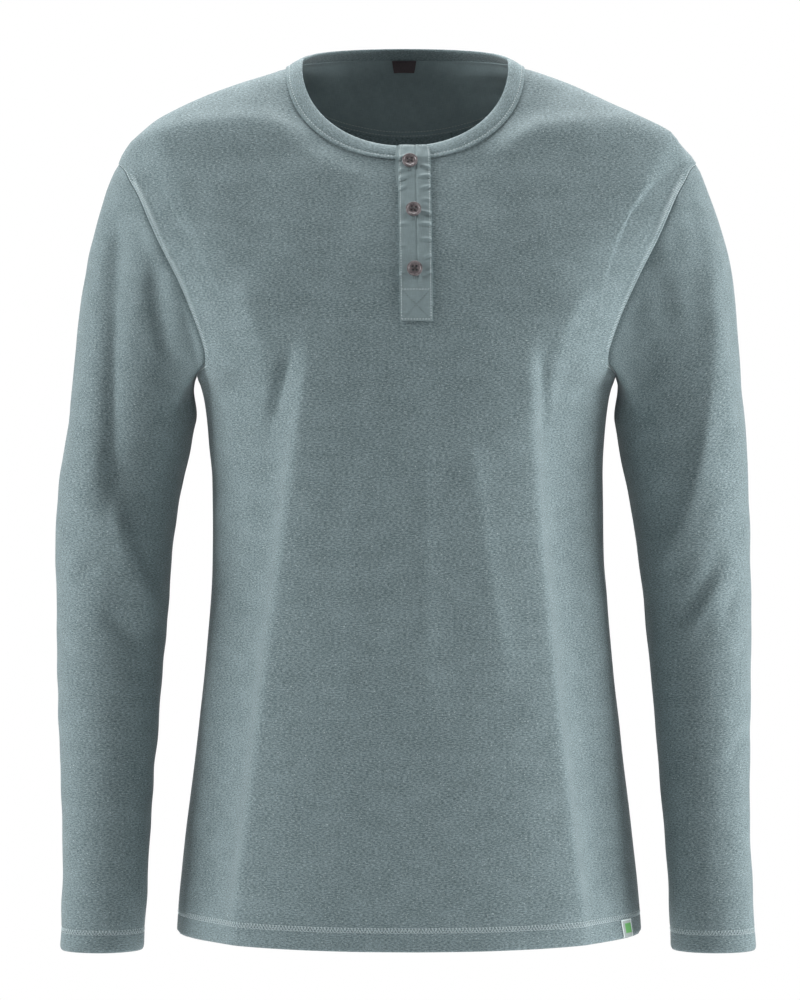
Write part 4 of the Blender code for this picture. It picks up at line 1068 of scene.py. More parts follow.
def sleeve_shares():
    """Shares of a half armhole from its tip to the underarm, closer at the underarm seam."""
    even = np.linspace(0, 1, SLEEVE_HALF_COLUMNS + 1)
    return np.concatenate([even[:-1], UNDERARM_SHARES])


def armhole_loop(half):
    """The whole armhole, from the underarm up the back and down the front to the underarm."""
    shares = sleeve_shares()
    front = resample(armhole_line(-1, half), shares)
    back = resample(armhole_line(1, half), shares)
    return np.vstack([back[::-1], front[1:-1]])


def loop_angles(loop, half):
    """The angle round the sleeve of each point of the armhole, from -pi up to pi."""
    out_x, _, out_z = ARMHOLE_OUTWARD
    top = len(sleeve_shares()) - 1
    middle = 0.5 * (loop[0] + loop[top])
    up = (loop - middle)[:, 0] * half * -out_z + (loop - middle)[:, 2] * out_x
    share = (up - up[0]) / (up[top] - up[0])
    middle_y = loop[0, 1] + share * (loop[top, 1] - loop[0, 1])
    angle = np.arctan2((middle_y - loop[:, 1]) / ARMHOLE_HALF_DEPTH, up / ARMHOLE_HALF_HEIGHT)
    angle[:top] = -np.abs(angle[:top])
    angle[top:] = np.abs(angle[top:])
    angle[0] = -math.pi
    angle[top] = 0.0
    return angle


def sleeve_grid(half):
    """A closed grid round the sleeve: a column for each armhole point, ring after ring."""
    outward = np.array(ARMHOLE_OUTWARD) * (half, 1, 1)
    loop = armhole_loop(half)
    angles = loop_angles(loop, half)
    start = loop + outward * SLEEVE_SEAM_CLEARANCE
    end = sleeve_ring(half, BICEP_Z, angles)
    below = sleeve_ring(half, BICEP_Z - BELOW_BICEP, angles)
    chord = end - start
    reach = np.linalg.norm(chord, axis=1, keepdims=True)
    leave = unit(CAP_OUTWARD_SHARE * outward + (1 - CAP_OUTWARD_SHARE) * unit(chord)) * reach
    arrive = unit(below - end) * reach
    cap = np.linspace(0, 1, CAP_RINGS + 1)[:-1]
    rings = [hermite(t, start, leave, end, arrive) for t in cap]
    shares = sleeve_shares()
    even = np.concatenate([-math.pi * shares[::-1], math.pi * shares[1:-1]])
    for z in hem_heights(BICEP_Z, CUFF_Z, CUFF_TURN, ARM_RINGS):
        settled = soft_step((BICEP_Z - z) / TWIST_LENGTH)
        rings.append(sleeve_ring(half, z, angles * (1 - settled) + even * settled))
    return np.stack(rings, 1)


@functools.cache
def sleeve_surface(half):
    """A sleeve's outer points and normals above its turning, its uv and its facing sign."""
    grid = sleeve_grid(half)
    outward = outward_sign(grid, grid - grid.mean(0), True)
    normals = grid_normals(grid, outward, True)
    folds = LEFT_SLEEVE_FOLDS if half < 0 else RIGHT_SLEEVE_FOLDS
    down = lengths_along(grid, 1)
    above_cuff = down[:, -1:] - down + HEM_ROLL
    fade = soft_step(down / SLEEVE_FOLD_FADE)
    relief = fold_relief(folds, grid, normals) * fade
    around = np.concatenate([grid, grid[:1]])
    aside = grid[..., 0] + grid[..., 1]
    roll = ripple(aside, grid[..., 2], SLEEVE_ROLL_LENGTH, SLEEVE_SEED + half)
    relief += SLEEVE_ROLL * roll * fade
    relief -= UNDERARM_DIP * bump(edge_distance(around)[:-1], SEAM_DIP_WIDTH)
    relief -= SEAM_DIP * bump(down, SEAM_DIP_WIDTH)
    relief += hem_relief(above_cuff, CUFF_ROWS)
    points = grid + normals * relief[..., None]
    return points, grid_normals(points, outward, True), sleeve_uv(around, half), outward


def sleeve_uv(around, half):
    """Lengths round a sleeve from its outer side and down it, in metres, by its grain."""
    along = lengths_along(around)
    x, z = around[..., 0], around[..., 2]
    name = "left" if half < 0 else "right"
    middle = column(SLEEVE_SECTIONS, name + "_x", z)
    settled = soft_step((BICEP_Z + GRAIN_SETTLE_ABOVE - z) / TWIST_LENGTH)
    tilt = GRAIN_TILT_CAP * (1 - settled) + GRAIN_TILT_ARM * settled
    return np.stack([along - 0.5 * along[-1], z - tilt * (half * x - middle)], -1) * MM


def make_sleeve(name, half, thickness, material):
    """One sleeve, a tube from its seam allowance in the armhole to the turned cuff."""
    points, _, uv, outward = sleeve_surface(half)
    loop = armhole_loop(half)
    into = unit(body_slope(loop))
    aside = np.array(ARMHOLE_OUTWARD) * (half, 1, 1)
    tuck = [loop - into * sink + aside * shift for shift, sink in SLEEVE_TUCK]
    full = np.concatenate([np.stack(tuck, 1), points], 1)
    rise = SLEEVE_TUCK_STEP * MM * np.arange(len(SLEEVE_TUCK), 0, -1)
    uv = np.concatenate([uv[:, :1] + np.stack([np.zeros_like(rise), rise], 1), uv], 1)
    lean = grid_normals(full, outward, True)
    full = turn_up(full, lean, CUFF_TURN)
    lean = grid_normals(full, outward, True)
    return make_sheet(name, full, lean, thickness, turned_uv(uv, CUFF_TURN), material, closed=True)


# ---- neckband

BAND_SAMPLES = 300
BAND_START = 10.5
BAND_STITCH = 1.9
BAND_STITCH_FACE = 0.72

# The band's cross section: up from the seam along its lean, and out from it. The strip runs
# up its outer side, over its fold and down its inner side.
BandPoint = namedtuple("BandPoint", "up out")
BAND_PROFILE = [
    BandPoint(-1.5, 0.35),
    BandPoint(-1.2, 0.85),
    BandPoint(-0.5, 1.1),
    BandPoint(0.5, 1.1),
    BandPoint(1.3, 0.85),
    BandPoint(1.9, 0.62),
    BandPoint(2.6, 0.85),
    BandPoint(3.6, 1.15),
    BandPoint(5.5, 1.4),
    BandPoint(8.0, 1.45),
    BandPoint(10.5, 1.25),
    BandPoint(12.4, 0.8),
    BandPoint(13.6, 0.05),
    BandPoint(13.9, -0.6),
    BandPoint(13.6, -1.2),
    BandPoint(12.6, -1.6),
    BandPoint(10.0, -1.8),
    BandPoint(6.0, -1.9),
    BandPoint(2.0, -1.95),
    BandPoint(-1.0, -2.0),
]
BAND_LAYER = 0.7
BAND_OUTER_ROWS = 10
BAND_SWELL = 0.10
BAND_SWELL_LENGTH = 24.0
BAND_SWELL_OUT = 0.7
BAND_SEED = 31


def band_lean(seam):
    """The direction in which the neckband rises from each point of the neckline."""
    middle_x = float(body_at("centre_x", NECK_SIDE_Z))
    middle_y = float(body_at("centre_y", NECK_SIDE_Z))
    towards = np.stack([middle_x - seam[:, 0], middle_y - seam[:, 1]], 1)
    share = np.clip((seam[:, 1] - middle_y) / NECK_HALF_DEPTH, -1, 1)
    aside = np.abs(seam[:, 0] - middle_x) / NECK_HALF_WIDTH
    rise = BAND_RISE + BAND_RISE_FRONT * np.maximum(-share, 0)
    rise += BAND_RISE_BACK * np.maximum(share, 0)
    rise -= BAND_LIE_SHOULDER * soft_step(aside) * (1 - np.abs(share))
    level = unit(towards) * np.sqrt(1 - rise**2)[:, None]
    return np.concatenate([level, rise[:, None]], 1)


def band_out(lean):
    """The outward direction of a neckband that leans so: lean turned up by a quarter."""
    level = np.linalg.norm(lean[:, :2], axis=1, keepdims=True)
    return np.concatenate([-lean[:, :2] / level * lean[:, 2:], level], 1)


def neck_loop():
    """The neckline's points, from one edge of the slit round the back to the other."""
    left = [neckline(-1, -1), neckline(1, -1)[::-1][1:]]
    right = [neckline(1, 1)[1:], neckline(-1, 1)[::-1][1:]]
    loop = np.vstack(left + right)
    start = BAND_START / lengths_along(loop)[-1]
    return resample(loop, np.linspace(start, 1 - start, BAND_SAMPLES))


def make_neckband(material):
    """A strip folded along its top, which stands on the neckline and leans in to the neck."""
    seam = neck_loop()
    lean = band_lean(seam)
    out = band_out(lean)
    along = lengths_along(seam)
    swell = 1 + BAND_SWELL * ripple(along, 0.0, BAND_SWELL_LENGTH, BAND_SEED)
    rows = []
    for point in BAND_PROFILE:
        proud = point.out * np.where(point.out > BAND_SWELL_OUT, swell, 1.0)
        rows.append(seam + lean * point.up + out * proud[:, None])
    grid = np.stack(rows, 1)
    normals = grid_normals(grid, outward_sign(grid[:, :BAND_OUTER_ROWS], out[:, None]))
    across = lengths_along(np.array(BAND_PROFILE))
    uv = np.stack(np.broadcast_arrays(along[:, None], across[None]), -1) * MM
    return make_sheet("neckband_cloth", grid, normals, BAND_LAYER, uv, material)


# ---- placket

PLACKET_WIDTH = 25.4
PLACKET_BOX_Z = -190.0
PLACKET_EDGE_ROW = 1.4
PLACKET_CREASE_X = 1.0
UNDER_SHIFT = -2.7
UNDER_SHIFT_LOW_Z = -118.0
UNDER_SHIFT_REACH = 22.0
UNDER_NARROWER = 1.0
UNDER_SHORTER = 3.0
UNDER_TOP_INSET = 0.5
UNDER_THICKNESS_SHARE = 0.9
PLACKET_BLEND_ROWS = 5

# Grooves and creases of the upper strip: how deep each is, and half its width
Groove = namedtuple("Groove", "depth half_width")
PLACKET_EDGE = Groove(0.35, 0.55)
PLACKET_STITCHES = Groove(0.22, 0.5)
PLACKET_CROSS = Groove(0.35, 0.6)
PLACKET_CREASE = Groove(0.42, 0.7)
PLACKET_CREASE_LIP = Groove(-0.21, 1.2)
PLACKET_CREASE_LIP_X = 1.6
PLACKET_CREASE_ABOVE = 1.0
PLACKET_CREASE_EASE = 4.0
PLACKET_CROSS_ABOVE = 2.0
PLACKET_CROSS_INSET = 1.5
PUCKER_EDGE_EASE = 1.8
PUCKER_END_SHARE = 0.6
PUCKER_HALF_WIDTH = 1.3
PUCKER_VALLEY_SHARE = 0.75
PUCKER_VALLEY_BELOW = 2.3
PUCKER_VALLEY_HALF_WIDTH = 1.1
PLACKET_ROLL = 0.10
PLACKET_ROLL_LENGTH = 9.0
PLACKET_SEED = 77

# Puckers drawn in by the edge stitches: height, place across (-1 left edge, +1 right edge),
# how far each reaches in, its slant, and its lift
Pucker = namedtuple("Pucker", "z side reach slant lift")
PUCKERS = [
    Pucker(-93.0, 1, 9.0, 0.15, 1.05),
    Pucker(-99.5, 1, 11.0, -0.10, 1.20),
    Pucker(-108.0, 1, 10.0, -0.25, 1.05),
    Pucker(-119.5, 1, 8.0, 0.10, 0.70),
    Pucker(-130.5, 1, 11.0, 0.20, 1.20),
    Pucker(-139.0, 1, 12.0, 0.05, 1.25),
    Pucker(-151.0, 1, 11.0, 0.05, 1.20),
    Pucker(-163.0, 1, 9.0, -0.35, 0.90),
    Pucker(-176.0, 1, 8.0, 0.0, 0.70),
    Pucker(-86.0, -1, 7.0, 0.35, 0.75),
    Pucker(-96.0, -1, 9.0, 0.30, 1.00),
    Pucker(-103.0, -1, 10.0, 0.40, 1.05),
    Pucker(-111.0, -1, 8.0, 0.45, 0.75),
    Pucker(-139.0, -1, 9.0, 0.05, 0.70),
    Pucker(-156.0, -1, 7.0, 0.0, 0.55),
    Pucker(-178.0, -1, 7.0, 0.1, 0.55),
    Pucker(-201.0, 1, 8.0, 0.0, 0.55),
    Pucker(-208.0, -1, 7.0, 0.2, 0.50),
]


def placket_seam_z():
    """The height at which the placket passes the neckline."""
    return float(neckline(-1, 1)[0, 2])


def placket_middle(z):
    """The x of the placket's middle line at a height."""
    share = (z - PLACKET_BOTTOM_Z) / (placket_seam_z() - PLACKET_BOTTOM_Z)
    return PLACKET_BOTTOM_X + (PLACKET_TOP_X - PLACKET_BOTTOM_X) * share


@functools.cache
def placket_sheet(width, shift, top_inset, bottom_z, face):
    """Points and outward directions of a strip up the centre, and where they are on it.

    The shift moves its upper end aside, and face is its height over the body.
    """
    seam_z = placket_seam_z()
    heights = np.linspace(bottom_z, seam_z, PLACKET_ROWS)
    middle = placket_middle(heights)
    middle = middle + shift * soft_step((heights - UNDER_SHIFT_LOW_Z) / UNDER_SHIFT_REACH)
    across = np.linspace(-0.5, 0.5, PLACKET_COLUMNS + 1) * width
    x = middle[None, :] + across[:, None]
    grid = on_body(x, np.broadcast_to(heights, x.shape), -1)
    out = unit(body_slope(grid))
    top = grid[:, -1]
    lean = band_lean(top)
    raised = band_out(lean)
    rises = np.linspace(0, PLACKET_TOP_RISE - top_inset, PLACKET_TOP_ROWS + 1)[1:]
    above = np.stack([top + lean * rise for rise in rises], 1)
    grid = np.concatenate([grid, above], 1)
    blend = np.linspace(0, 1, PLACKET_BLEND_ROWS + 1)[1:]
    outs = [unit(out[:, -1] * (1 - b) + raised * b) for b in blend]
    outs += [raised] * (PLACKET_TOP_ROWS - len(outs))
    out = np.concatenate([out, np.stack(outs, 1)], 1)
    heights = np.concatenate([heights, seam_z + rises])
    over_band = BAND_LIFT * soft_step((heights - seam_z) / BAND_LIFT_REACH + 1)
    return grid + out * (face + over_band)[None, :, None], out, across, heights


def groove(distance, shape):
    """The relief of a groove at distance 0."""
    return -shape.depth * bump(distance, shape.half_width)


def placket_relief(across, heights):
    """Creases, puckers and stitch dips of the upper strip."""
    a = across[:, None]
    z = heights[None, :]
    half = PLACKET_WIDTH / 2
    edge = half - np.abs(a)
    below_top = heights[-1] - z
    above_low = z - PLACKET_BOTTOM_Z
    above_box = z - PLACKET_BOX_Z
    relief = groove(edge, PLACKET_EDGE) + groove(below_top, PLACKET_EDGE)
    for distance in (edge, below_top, above_low):
        relief = relief + groove(distance - PLACKET_EDGE_ROW, PLACKET_STITCHES)
    relief = relief + groove(above_box, PLACKET_STITCHES)
    beside = a - PLACKET_CREASE_X
    lip = groove(beside - PLACKET_CREASE_LIP_X, PLACKET_CREASE_LIP)
    fade = soft_step((above_box - PLACKET_CREASE_ABOVE) / PLACKET_CREASE_EASE)
    relief = relief + (groove(beside, PLACKET_CREASE) + lip) * fade
    box = (above_box < 0) * (above_low > PLACKET_CROSS_ABOVE)
    rise = above_low / (PLACKET_BOX_Z - PLACKET_BOTTOM_Z) - 0.5
    for lean in (1, -1):
        line = lean * rise * 2 * (half - PLACKET_CROSS_INSET)
        relief = relief + groove(a - line, PLACKET_CROSS) * box
    for pucker in PUCKERS:
        relief = relief + pucker_relief(pucker, half - pucker.side * a, z)
    return relief + PLACKET_ROLL * ripple(a, z, PLACKET_ROLL_LENGTH, PLACKET_SEED)


def pucker_relief(pucker, inward, z):
    """A pucker's crest and the valley below it, by the distance in from its edge."""
    line = z - pucker.z - pucker.slant * inward
    end = (pucker.reach - inward) / (PUCKER_END_SHARE * pucker.reach)
    swell = soft_step(inward / PUCKER_EDGE_EASE) * soft_step(end)
    valley = bump(line + PUCKER_VALLEY_BELOW, PUCKER_VALLEY_HALF_WIDTH)
    crest = bump(line, PUCKER_HALF_WIDTH)
    return pucker.lift * swell * (crest - PUCKER_VALLEY_SHARE * valley)


def make_placket_strip(name, sheet, relief, thickness, material):
    """A placket strip with its relief."""
    grid, out, across, heights = sheet
    points = grid + out * relief[..., None]
    normals = grid_normals(points, outward_sign(points, out))
    uv = np.stack(np.meshgrid(across, heights, indexing="ij"), -1) * MM
    return make_sheet(name, points, normals, thickness, uv, material)


@functools.cache
def over_surface():
    """The upper strip's sheet and its relief."""
    sheet = placket_sheet(PLACKET_WIDTH, 0.0, 0.0, PLACKET_BOTTOM_Z, OVER_FACE)
    return sheet, placket_relief(sheet[2], sheet[3])


def on_over(across, z):
    """A point and the outward direction on the upper strip, by distance from its middle."""
    (grid, out, a, heights), relief = over_surface()
    points = grid + out * relief[..., None]
    i = np.interp(across, a, np.arange(len(a)))
    j = np.interp(z, heights, np.arange(len(heights)))
    return between_cells(points, i, j), unit(between_cells(out, i, j))


# ---- buttons

BUTTON_SIDES = 48
HOLE_SIDES = 18
# Insets of the face, from its edge inwards: shares of the rim's width and of the dish's depth
BUTTON_INSETS = ((0.28, 0.0), (0.44, 0.12), (0.34, 0.88))
# Insets of the flat middle and of the back, and the bevel, as shares of the radius and the rim
BUTTON_MIDDLE_INSET = 0.2
BUTTON_BACK_INSET = 0.12
BUTTON_BEVEL = 0.24
BUTTON_BEVEL_SEGMENTS = 4
BUTTON_BEVEL_ANGLE = 24
BUTTON_SHARP_ANGLE = 35
BUTTON_FLAT = 0.9


def inset_faces(button, side, insets):
    """Insets the faces that look up (+1) or down (-1), once for each width and depth."""
    bpy.ops.object.mode_set(mode="EDIT")
    bpy.ops.mesh.select_mode(type="FACE")
    bpy.ops.mesh.select_all(action="DESELECT")
    bpy.ops.object.mode_set(mode="OBJECT")
    for face in button.data.polygons:
        face.select = face.normal.z * side > BUTTON_FLAT
    bpy.ops.object.mode_set(mode="EDIT")
    for width, depth in insets:
        bpy.ops.mesh.inset(thickness=width, depth=depth)
    bpy.ops.object.mode_set(mode="OBJECT")


def model_button(sizes, material):
    """A dished button with four thread holes, its back on the origin, in metres."""
    radius = sizes.diameter / 2
    bpy.ops.object.select_all(action="DESELECT")
    bpy.ops.mesh.primitive_cylinder_add(
        vertices=BUTTON_SIDES,
        radius=radius,
        depth=sizes.thickness,
        location=(0, 0, sizes.thickness / 2),
    )
    button = bpy.context.active_object
    bpy.ops.object.transform_apply(location=True, rotation=True, scale=True)
    insets = [(sizes.rim * width, -sizes.dish * depth) for width, depth in BUTTON_INSETS]
    inset_faces(button, 1, [*insets, (radius * BUTTON_MIDDLE_INSET, 0.0)])
    inset_faces(button, -1, [(radius * BUTTON_BACK_INSET, 0.0)])
    bevel = button.modifiers.new("Soft edges", "BEVEL")
    bevel.width = sizes.rim * BUTTON_BEVEL
    bevel.segments = BUTTON_BEVEL_SEGMENTS
    bevel.limit_method = "ANGLE"
    bevel.angle_limit = math.radians(BUTTON_BEVEL_ANGLE)
    bpy.ops.object.modifier_apply(modifier=bevel.name)
    for across in (-0.5, 0.5):
        for up in (-0.5, 0.5):
            cut_hole(button, across * sizes.hole_spacing, up * sizes.hole_spacing, sizes)
    button.data.shade_smooth()
    button.data.set_sharp_from_angle(angle=math.radians(BUTTON_SHARP_ANGLE))
    button.data.materials.clear()
    button.data.materials.append(material)
    return button


def cut_hole(button, x, y, sizes):
    """Cuts one thread hole through a button."""
    bpy.ops.object.select_all(action="DESELECT")
    bpy.ops.mesh.primitive_cylinder_add(
        vertices=HOLE_SIDES, radius=sizes.hole / 2, depth=4 * sizes.thickness, location=(x, y, 0)
    )
    cutter = bpy.context.active_object
    bpy.ops.object.select_all(action="DESELECT")
    bpy.context.view_layer.objects.active = button
    button.select_set(True)
    cut = button.modifiers.new("Hole", "BOOLEAN")
    cut.operation = "DIFFERENCE"
    cut.object = cutter
    bpy.ops.object.modifier_apply(modifier=cut.name)
    bpy.data.objects.remove(cutter, do_unlink=True)


def placket_frame(x, z):
    """A point on the upper strip with directions across, up and out, in millimetres."""
    base, out = on_over(np.array([x - placket_middle(z)]), np.array([z]))
    across = unit(np.cross(np.array([0.0, 0.0, 1.0]), out[0]))
    return base[0], across, unit(np.cross(out[0], across)), out[0]


# ---- sewing

ROW_LIFT = 0.08
LOOP_LIFT = 0.2
DOT_FILL = 0.58
ARMHOLE_LADDER = (1.4, 7.6)
ARMHOLE_EDGE_ROW = 1.0
ARMHOLE_PITCH = 2.5
ARMHOLE_LEAN = 0.9
ARMHOLE_SQUARE = 0.5
ARMHOLE_SLANT_COLUMN = 3
BUTTONHOLE_ABOVE = 6.6
BUTTONHOLE_BELOW = 8.0
BUTTONHOLE_SIDES = (0.35, 1.15)
BUTTONHOLE_PITCH = 0.5
THREAD_SPREAD = 0.22
PLACKET_PITCH_SHARE = 0.85
PLACKET_ROW_SAMPLES = 80


def cover_stitch(points, normals, rows, sewing):
    """Two needle rows at distances in from a grid's first row, and the loops between them."""
    pitch = sewing.needle_pitch / MM
    low, up = inset_line(points, normals, rows[0] - HEM_ROLL)
    high, _ = inset_line(points, normals, rows[1] - HEM_ROLL)
    strokes = row_of_stitches(low, up, pitch, ROW_LIFT)
    strokes += row_of_stitches(high, up, pitch, ROW_LIFT)
    return strokes + zigzag(low, high, up, pitch, LOOP_LIFT)


def hem_sewing(sewing):
    """Cover stitches round the body's hem."""
    strokes = []
    for facing in (-1, 1):
        points, normals, _, _, _ = panel_surface(facing)
        strokes += cover_stitch(points[:, ::-1], normals[:, ::-1], HEM_ROWS, sewing)
    return strokes


def cuff_sewing(sewing):
    """Cover stitches round both cuffs."""
    strokes = []
    for half in (-1, 1):
        points, normals, _, _ = sleeve_surface(half)
        points = np.concatenate([points, points[:1]])[:, ::-1]
        normals = np.concatenate([normals, normals[:1]])[:, ::-1]
        strokes += cover_stitch(points, normals, CUFF_ROWS, sewing)
    return strokes


def armhole_row(facing, half, distance):
    """The line on a panel at a distance square to its armhole's seam, with its normals."""
    points, normals, _, _, _ = panel_surface(facing)
    rows = slice(SHOULDER_ROWS, SHOULDER_ROWS + ARMHOLE_ROWS + 1)
    points = points[::-half, rows].swapaxes(0, 1)
    normals = normals[::-half, rows].swapaxes(0, 1)
    along = unit(np.gradient(points[:, 0], axis=0))
    into = unit(points[:, ARMHOLE_SLANT_COLUMN] - points[:, 0])
    square = np.linalg.norm(np.cross(along, into), axis=1)
    return inset_line(points, normals, distance / np.maximum(square, ARMHOLE_SQUARE))


def armhole_sewing(sewing):
    """A slanted ladder of thread and a needle row on each raised armhole band."""
    strokes = []
    for facing in (-1, 1):
        for half in (-1, 1):
            low, up = armhole_row(facing, half, ARMHOLE_LADDER[0])
            high, _ = armhole_row(facing, half, ARMHOLE_LADDER[1])
            strokes += ladder(low, high, up, ARMHOLE_PITCH, ARMHOLE_LEAN, LOOP_LIFT)
            edge, up = armhole_row(facing, half, ARMHOLE_EDGE_ROW)
            strokes += row_of_stitches(edge, up, sewing.needle_pitch / MM, ROW_LIFT)
    return strokes


def neckband_sewing(sewing):
    """A needle row near the neckband's lower edge."""
    seam = neck_loop()
    lean = band_lean(seam)
    out = band_out(lean)
    line = seam + lean * BAND_STITCH + out * BAND_STITCH_FACE
    return row_of_stitches(line, out, sewing.needle_pitch / MM, ROW_LIFT, DOT_FILL)


def placket_rows(rows, sewing):
    """Needle rows over the upper strip, each from one (across, height) to another."""
    pitch = sewing.needle_pitch / MM * PLACKET_PITCH_SHARE
    share = np.linspace(0, 1, PLACKET_ROW_SAMPLES)
    strokes = []
    for start, stop in rows:
        across, heights = (np.interp(share, (0, 1), ends) for ends in zip(start, stop))
        line, out = on_over(across, heights)
        strokes += row_of_stitches(line, out, pitch, ROW_LIFT, DOT_FILL)
    return strokes


def placket_sewing(sewing):
    """Needle rows along the upper strip's edges and round its stitched box."""
    side = PLACKET_WIDTH / 2 - PLACKET_EDGE_ROW
    top = over_surface()[0][3][-1] - PLACKET_EDGE_ROW
    low = PLACKET_BOTTOM_Z + PLACKET_EDGE_ROW
    rows = [((-side, low), (-side, top)), ((side, low), (side, top))]
    rows += [((-side, z), (side, z)) for z in (top, PLACKET_BOX_Z, low)]
    return placket_rows(rows, sewing)


def cross_sewing(sewing):
    """The cross of thread in the placket's box."""
    side = PLACKET_WIDTH / 2 - PLACKET_EDGE_ROW
    low = PLACKET_BOTTOM_Z + PLACKET_EDGE_ROW
    rows = [((-side * lean, PLACKET_BOX_Z), (side * lean, low)) for lean in (1, -1)]
    return placket_rows(rows, sewing)


def buttonhole_sewing():
    """A close border of thread round each upright buttonhole."""
    strokes = []
    for spot in BUTTONS:
        middle = spot.x - placket_middle(spot.z)
        heights = np.arange(spot.z - BUTTONHOLE_BELOW, spot.z + BUTTONHOLE_ABOVE, BUTTONHOLE_PITCH)
        for side in (-1, 1):
            near, far = (np.full(len(heights), middle + side * d) for d in BUTTONHOLE_SIDES)
            start, out = on_over(near, heights)
            stop, _ = on_over(far, heights)
            strokes += zip(start + out * LOOP_LIFT, stop + out * LOOP_LIFT, out)
    return strokes


def facing_sewing(sewing):
    """Two needle rows along the half moon's lower edge."""
    skin, out, _, depths = facing_surface()
    strokes = []
    for row in FACING_ROWS_IN:
        kept = depths > row + FACING_ROW_END
        share = 1 - row / (depths[kept] - FACING_SEAM_GAP)
        line, up = read_rows(skin[kept], -out[kept], share[:, None] * (FACING_ROWS - 1))
        line = line[:, 0] + up[:, 0] * (FACING_SINK + FACING_THICKNESS)
        strokes += row_of_stitches(line, up[:, 0], sewing.needle_pitch / MM, ROW_LIFT)
    return strokes


def button_threads(sizes):
    """Crossed threads through the four holes of each button."""
    strokes = []
    reach = sizes.hole_spacing / MM / 2
    height = BUTTON_LIFT + (sizes.thickness - sizes.dish) / MM + THREAD_SPREAD
    for spot in BUTTONS:
        base, across, up, out = placket_frame(spot.x, spot.z)
        turn = math.radians(spot.turn)
        right = across * math.cos(turn) + up * math.sin(turn)
        above = up * math.cos(turn) - across * math.sin(turn)
        face = base + out * height
        for slant in (-1, 1):
            bar = (right + above * slant) * reach
            aside = unit(above - right * slant) * THREAD_SPREAD
            strokes += [(face - bar + aside * k, face + bar + aside * k, out) for k in (-1, 1)]
    return strokes


# ---- half moon and labels

FACING_DEPTH = 68.0
FACING_HALF_WIDTH = 95.0
FACING_ROWS = 46
FACING_SINK = 1.25
FACING_THICKNESS = 0.5
FACING_ROWS_IN = (1.5, 5.0)
FACING_ROW_END = 2.0
FACING_SEAM_GAP = 0.4
FACING_EDGE = Groove(0.3, 0.8)
FACING_STITCHES = Groove(0.2, 0.6)
FACING_ROLL = 0.12
FACING_ROLL_LENGTH = 22.0
FACING_SEED = 91
LABEL_X = -3.0
LABEL_WIDTH = 20.0
LABEL_TOP = 0.4
LABEL_DEPTH = 9.8
LABEL_TAPER = 0.26
LABEL_COLUMNS = 17
LABEL_ROWS = 18
LABEL_LIFT = 1.4
LABEL_HANG = 1.5
LABEL_HANG_POWER = 1.5
LABEL_CURL = 0.5
LABEL_THICKNESS = 0.7
TAB_SIDE = 46.0
TAB_WIDTH = 15.0
TAB_LOW = 0.5
TAB_HEIGHT = 13.6
TAB_CELLS = 25
TAB_LIFT = 0.75
TAB_CURL = 0.35
TAB_CURL_SHARES = (0.10, 0.12)
TAB_THICKNESS = 0.5
TAB_EDGE = 1.1
TAB_TOP_EDGE = 0.9
TAB_BLOCK = (1.6, 10.8, 3.0, 10.6)
TAB_SOFT = 0.15


@functools.cache
def facing_surface():
    """The half moon's inner-side points, its directions and its lengths from the seam."""
    points, normals, _, _, _ = panel_surface(1)
    middle = float(body_at("centre_x", NECK_SIDE_Z))
    aside = (points[:, 0, 0] - middle) / FACING_HALF_WIDTH
    kept = np.flatnonzero(np.abs(aside) < 1)
    depths = FACING_DEPTH * np.sqrt(1 - aside[kept] ** 2)
    fall = np.linspace(0, 1, FACING_ROWS) * (depths[:, None] - FACING_SEAM_GAP)
    lengths = FACING_SEAM_GAP + fall
    skin, out = read_rows(points[kept], normals[kept], rows_at(points[kept], lengths))
    return skin, out, lengths, depths


def make_facing(material):
    """A half moon of cloth that lies inside the back, below the neckband's seam."""
    skin, out, lengths, depths = facing_surface()
    edge = depths[:, None] - lengths
    relief = groove(edge, FACING_EDGE)
    for row in FACING_ROWS_IN:
        relief += groove(edge - row, FACING_STITCHES)
    relief += FACING_ROLL * ripple(skin[..., 0], skin[..., 2], FACING_ROLL_LENGTH, FACING_SEED)
    points = skin - out * (FACING_SINK + FACING_THICKNESS + relief)[..., None]
    uv = np.stack([skin[..., 0], -lengths], -1) * MM
    return make_sheet("neck_facing_cloth", points, -out, FACING_THICKNESS, uv, material)


def make_neck_label(material):
    """A short folded label that hangs on the half moon, below the neckband's seam."""
    points, normals, _, _, _ = panel_surface(1)
    along = np.linspace(0, 1, LABEL_ROWS)
    aside = np.linspace(-1, 1, LABEL_COLUMNS)[:, None]
    x = LABEL_X + aside * 0.5 * LABEL_WIDTH * (1 - LABEL_TAPER * along)
    line = points[:, 0, 0]
    order = np.argsort(line)
    across = np.interp(x, line[order], np.arange(len(line))[order])
    lengths = LABEL_TOP + along * LABEL_DEPTH
    at = rows_at(points[np.round(across[:, 0]).astype(int)], lengths)
    skin = between_cells(points, across, at)
    out = unit(between_cells(normals, across, at))
    hang = LABEL_LIFT + LABEL_HANG * along**LABEL_HANG_POWER + LABEL_CURL * aside**2 * along
    face = skin - out * (FACING_SINK + FACING_THICKNESS + hang)[..., None]
    uv = np.stack(np.broadcast_arrays(x, -lengths), -1) * MM
    return make_sheet("neck_label_cloth", face, -out, LABEL_THICKNESS, uv, material)


def corner_patch(points, normals, sides, heights):
    """A grid over a panel's lower corner, by lengths in from its side and up from its edge."""
    points, normals = points[::-1, ::-1], normals[::-1, ::-1]
    parts = read_rows(points, normals, rows_at(points, heights))
    strip, lean = (part.swapaxes(0, 1) for part in parts)
    return read_rows(strip, lean, rows_at(strip, sides))


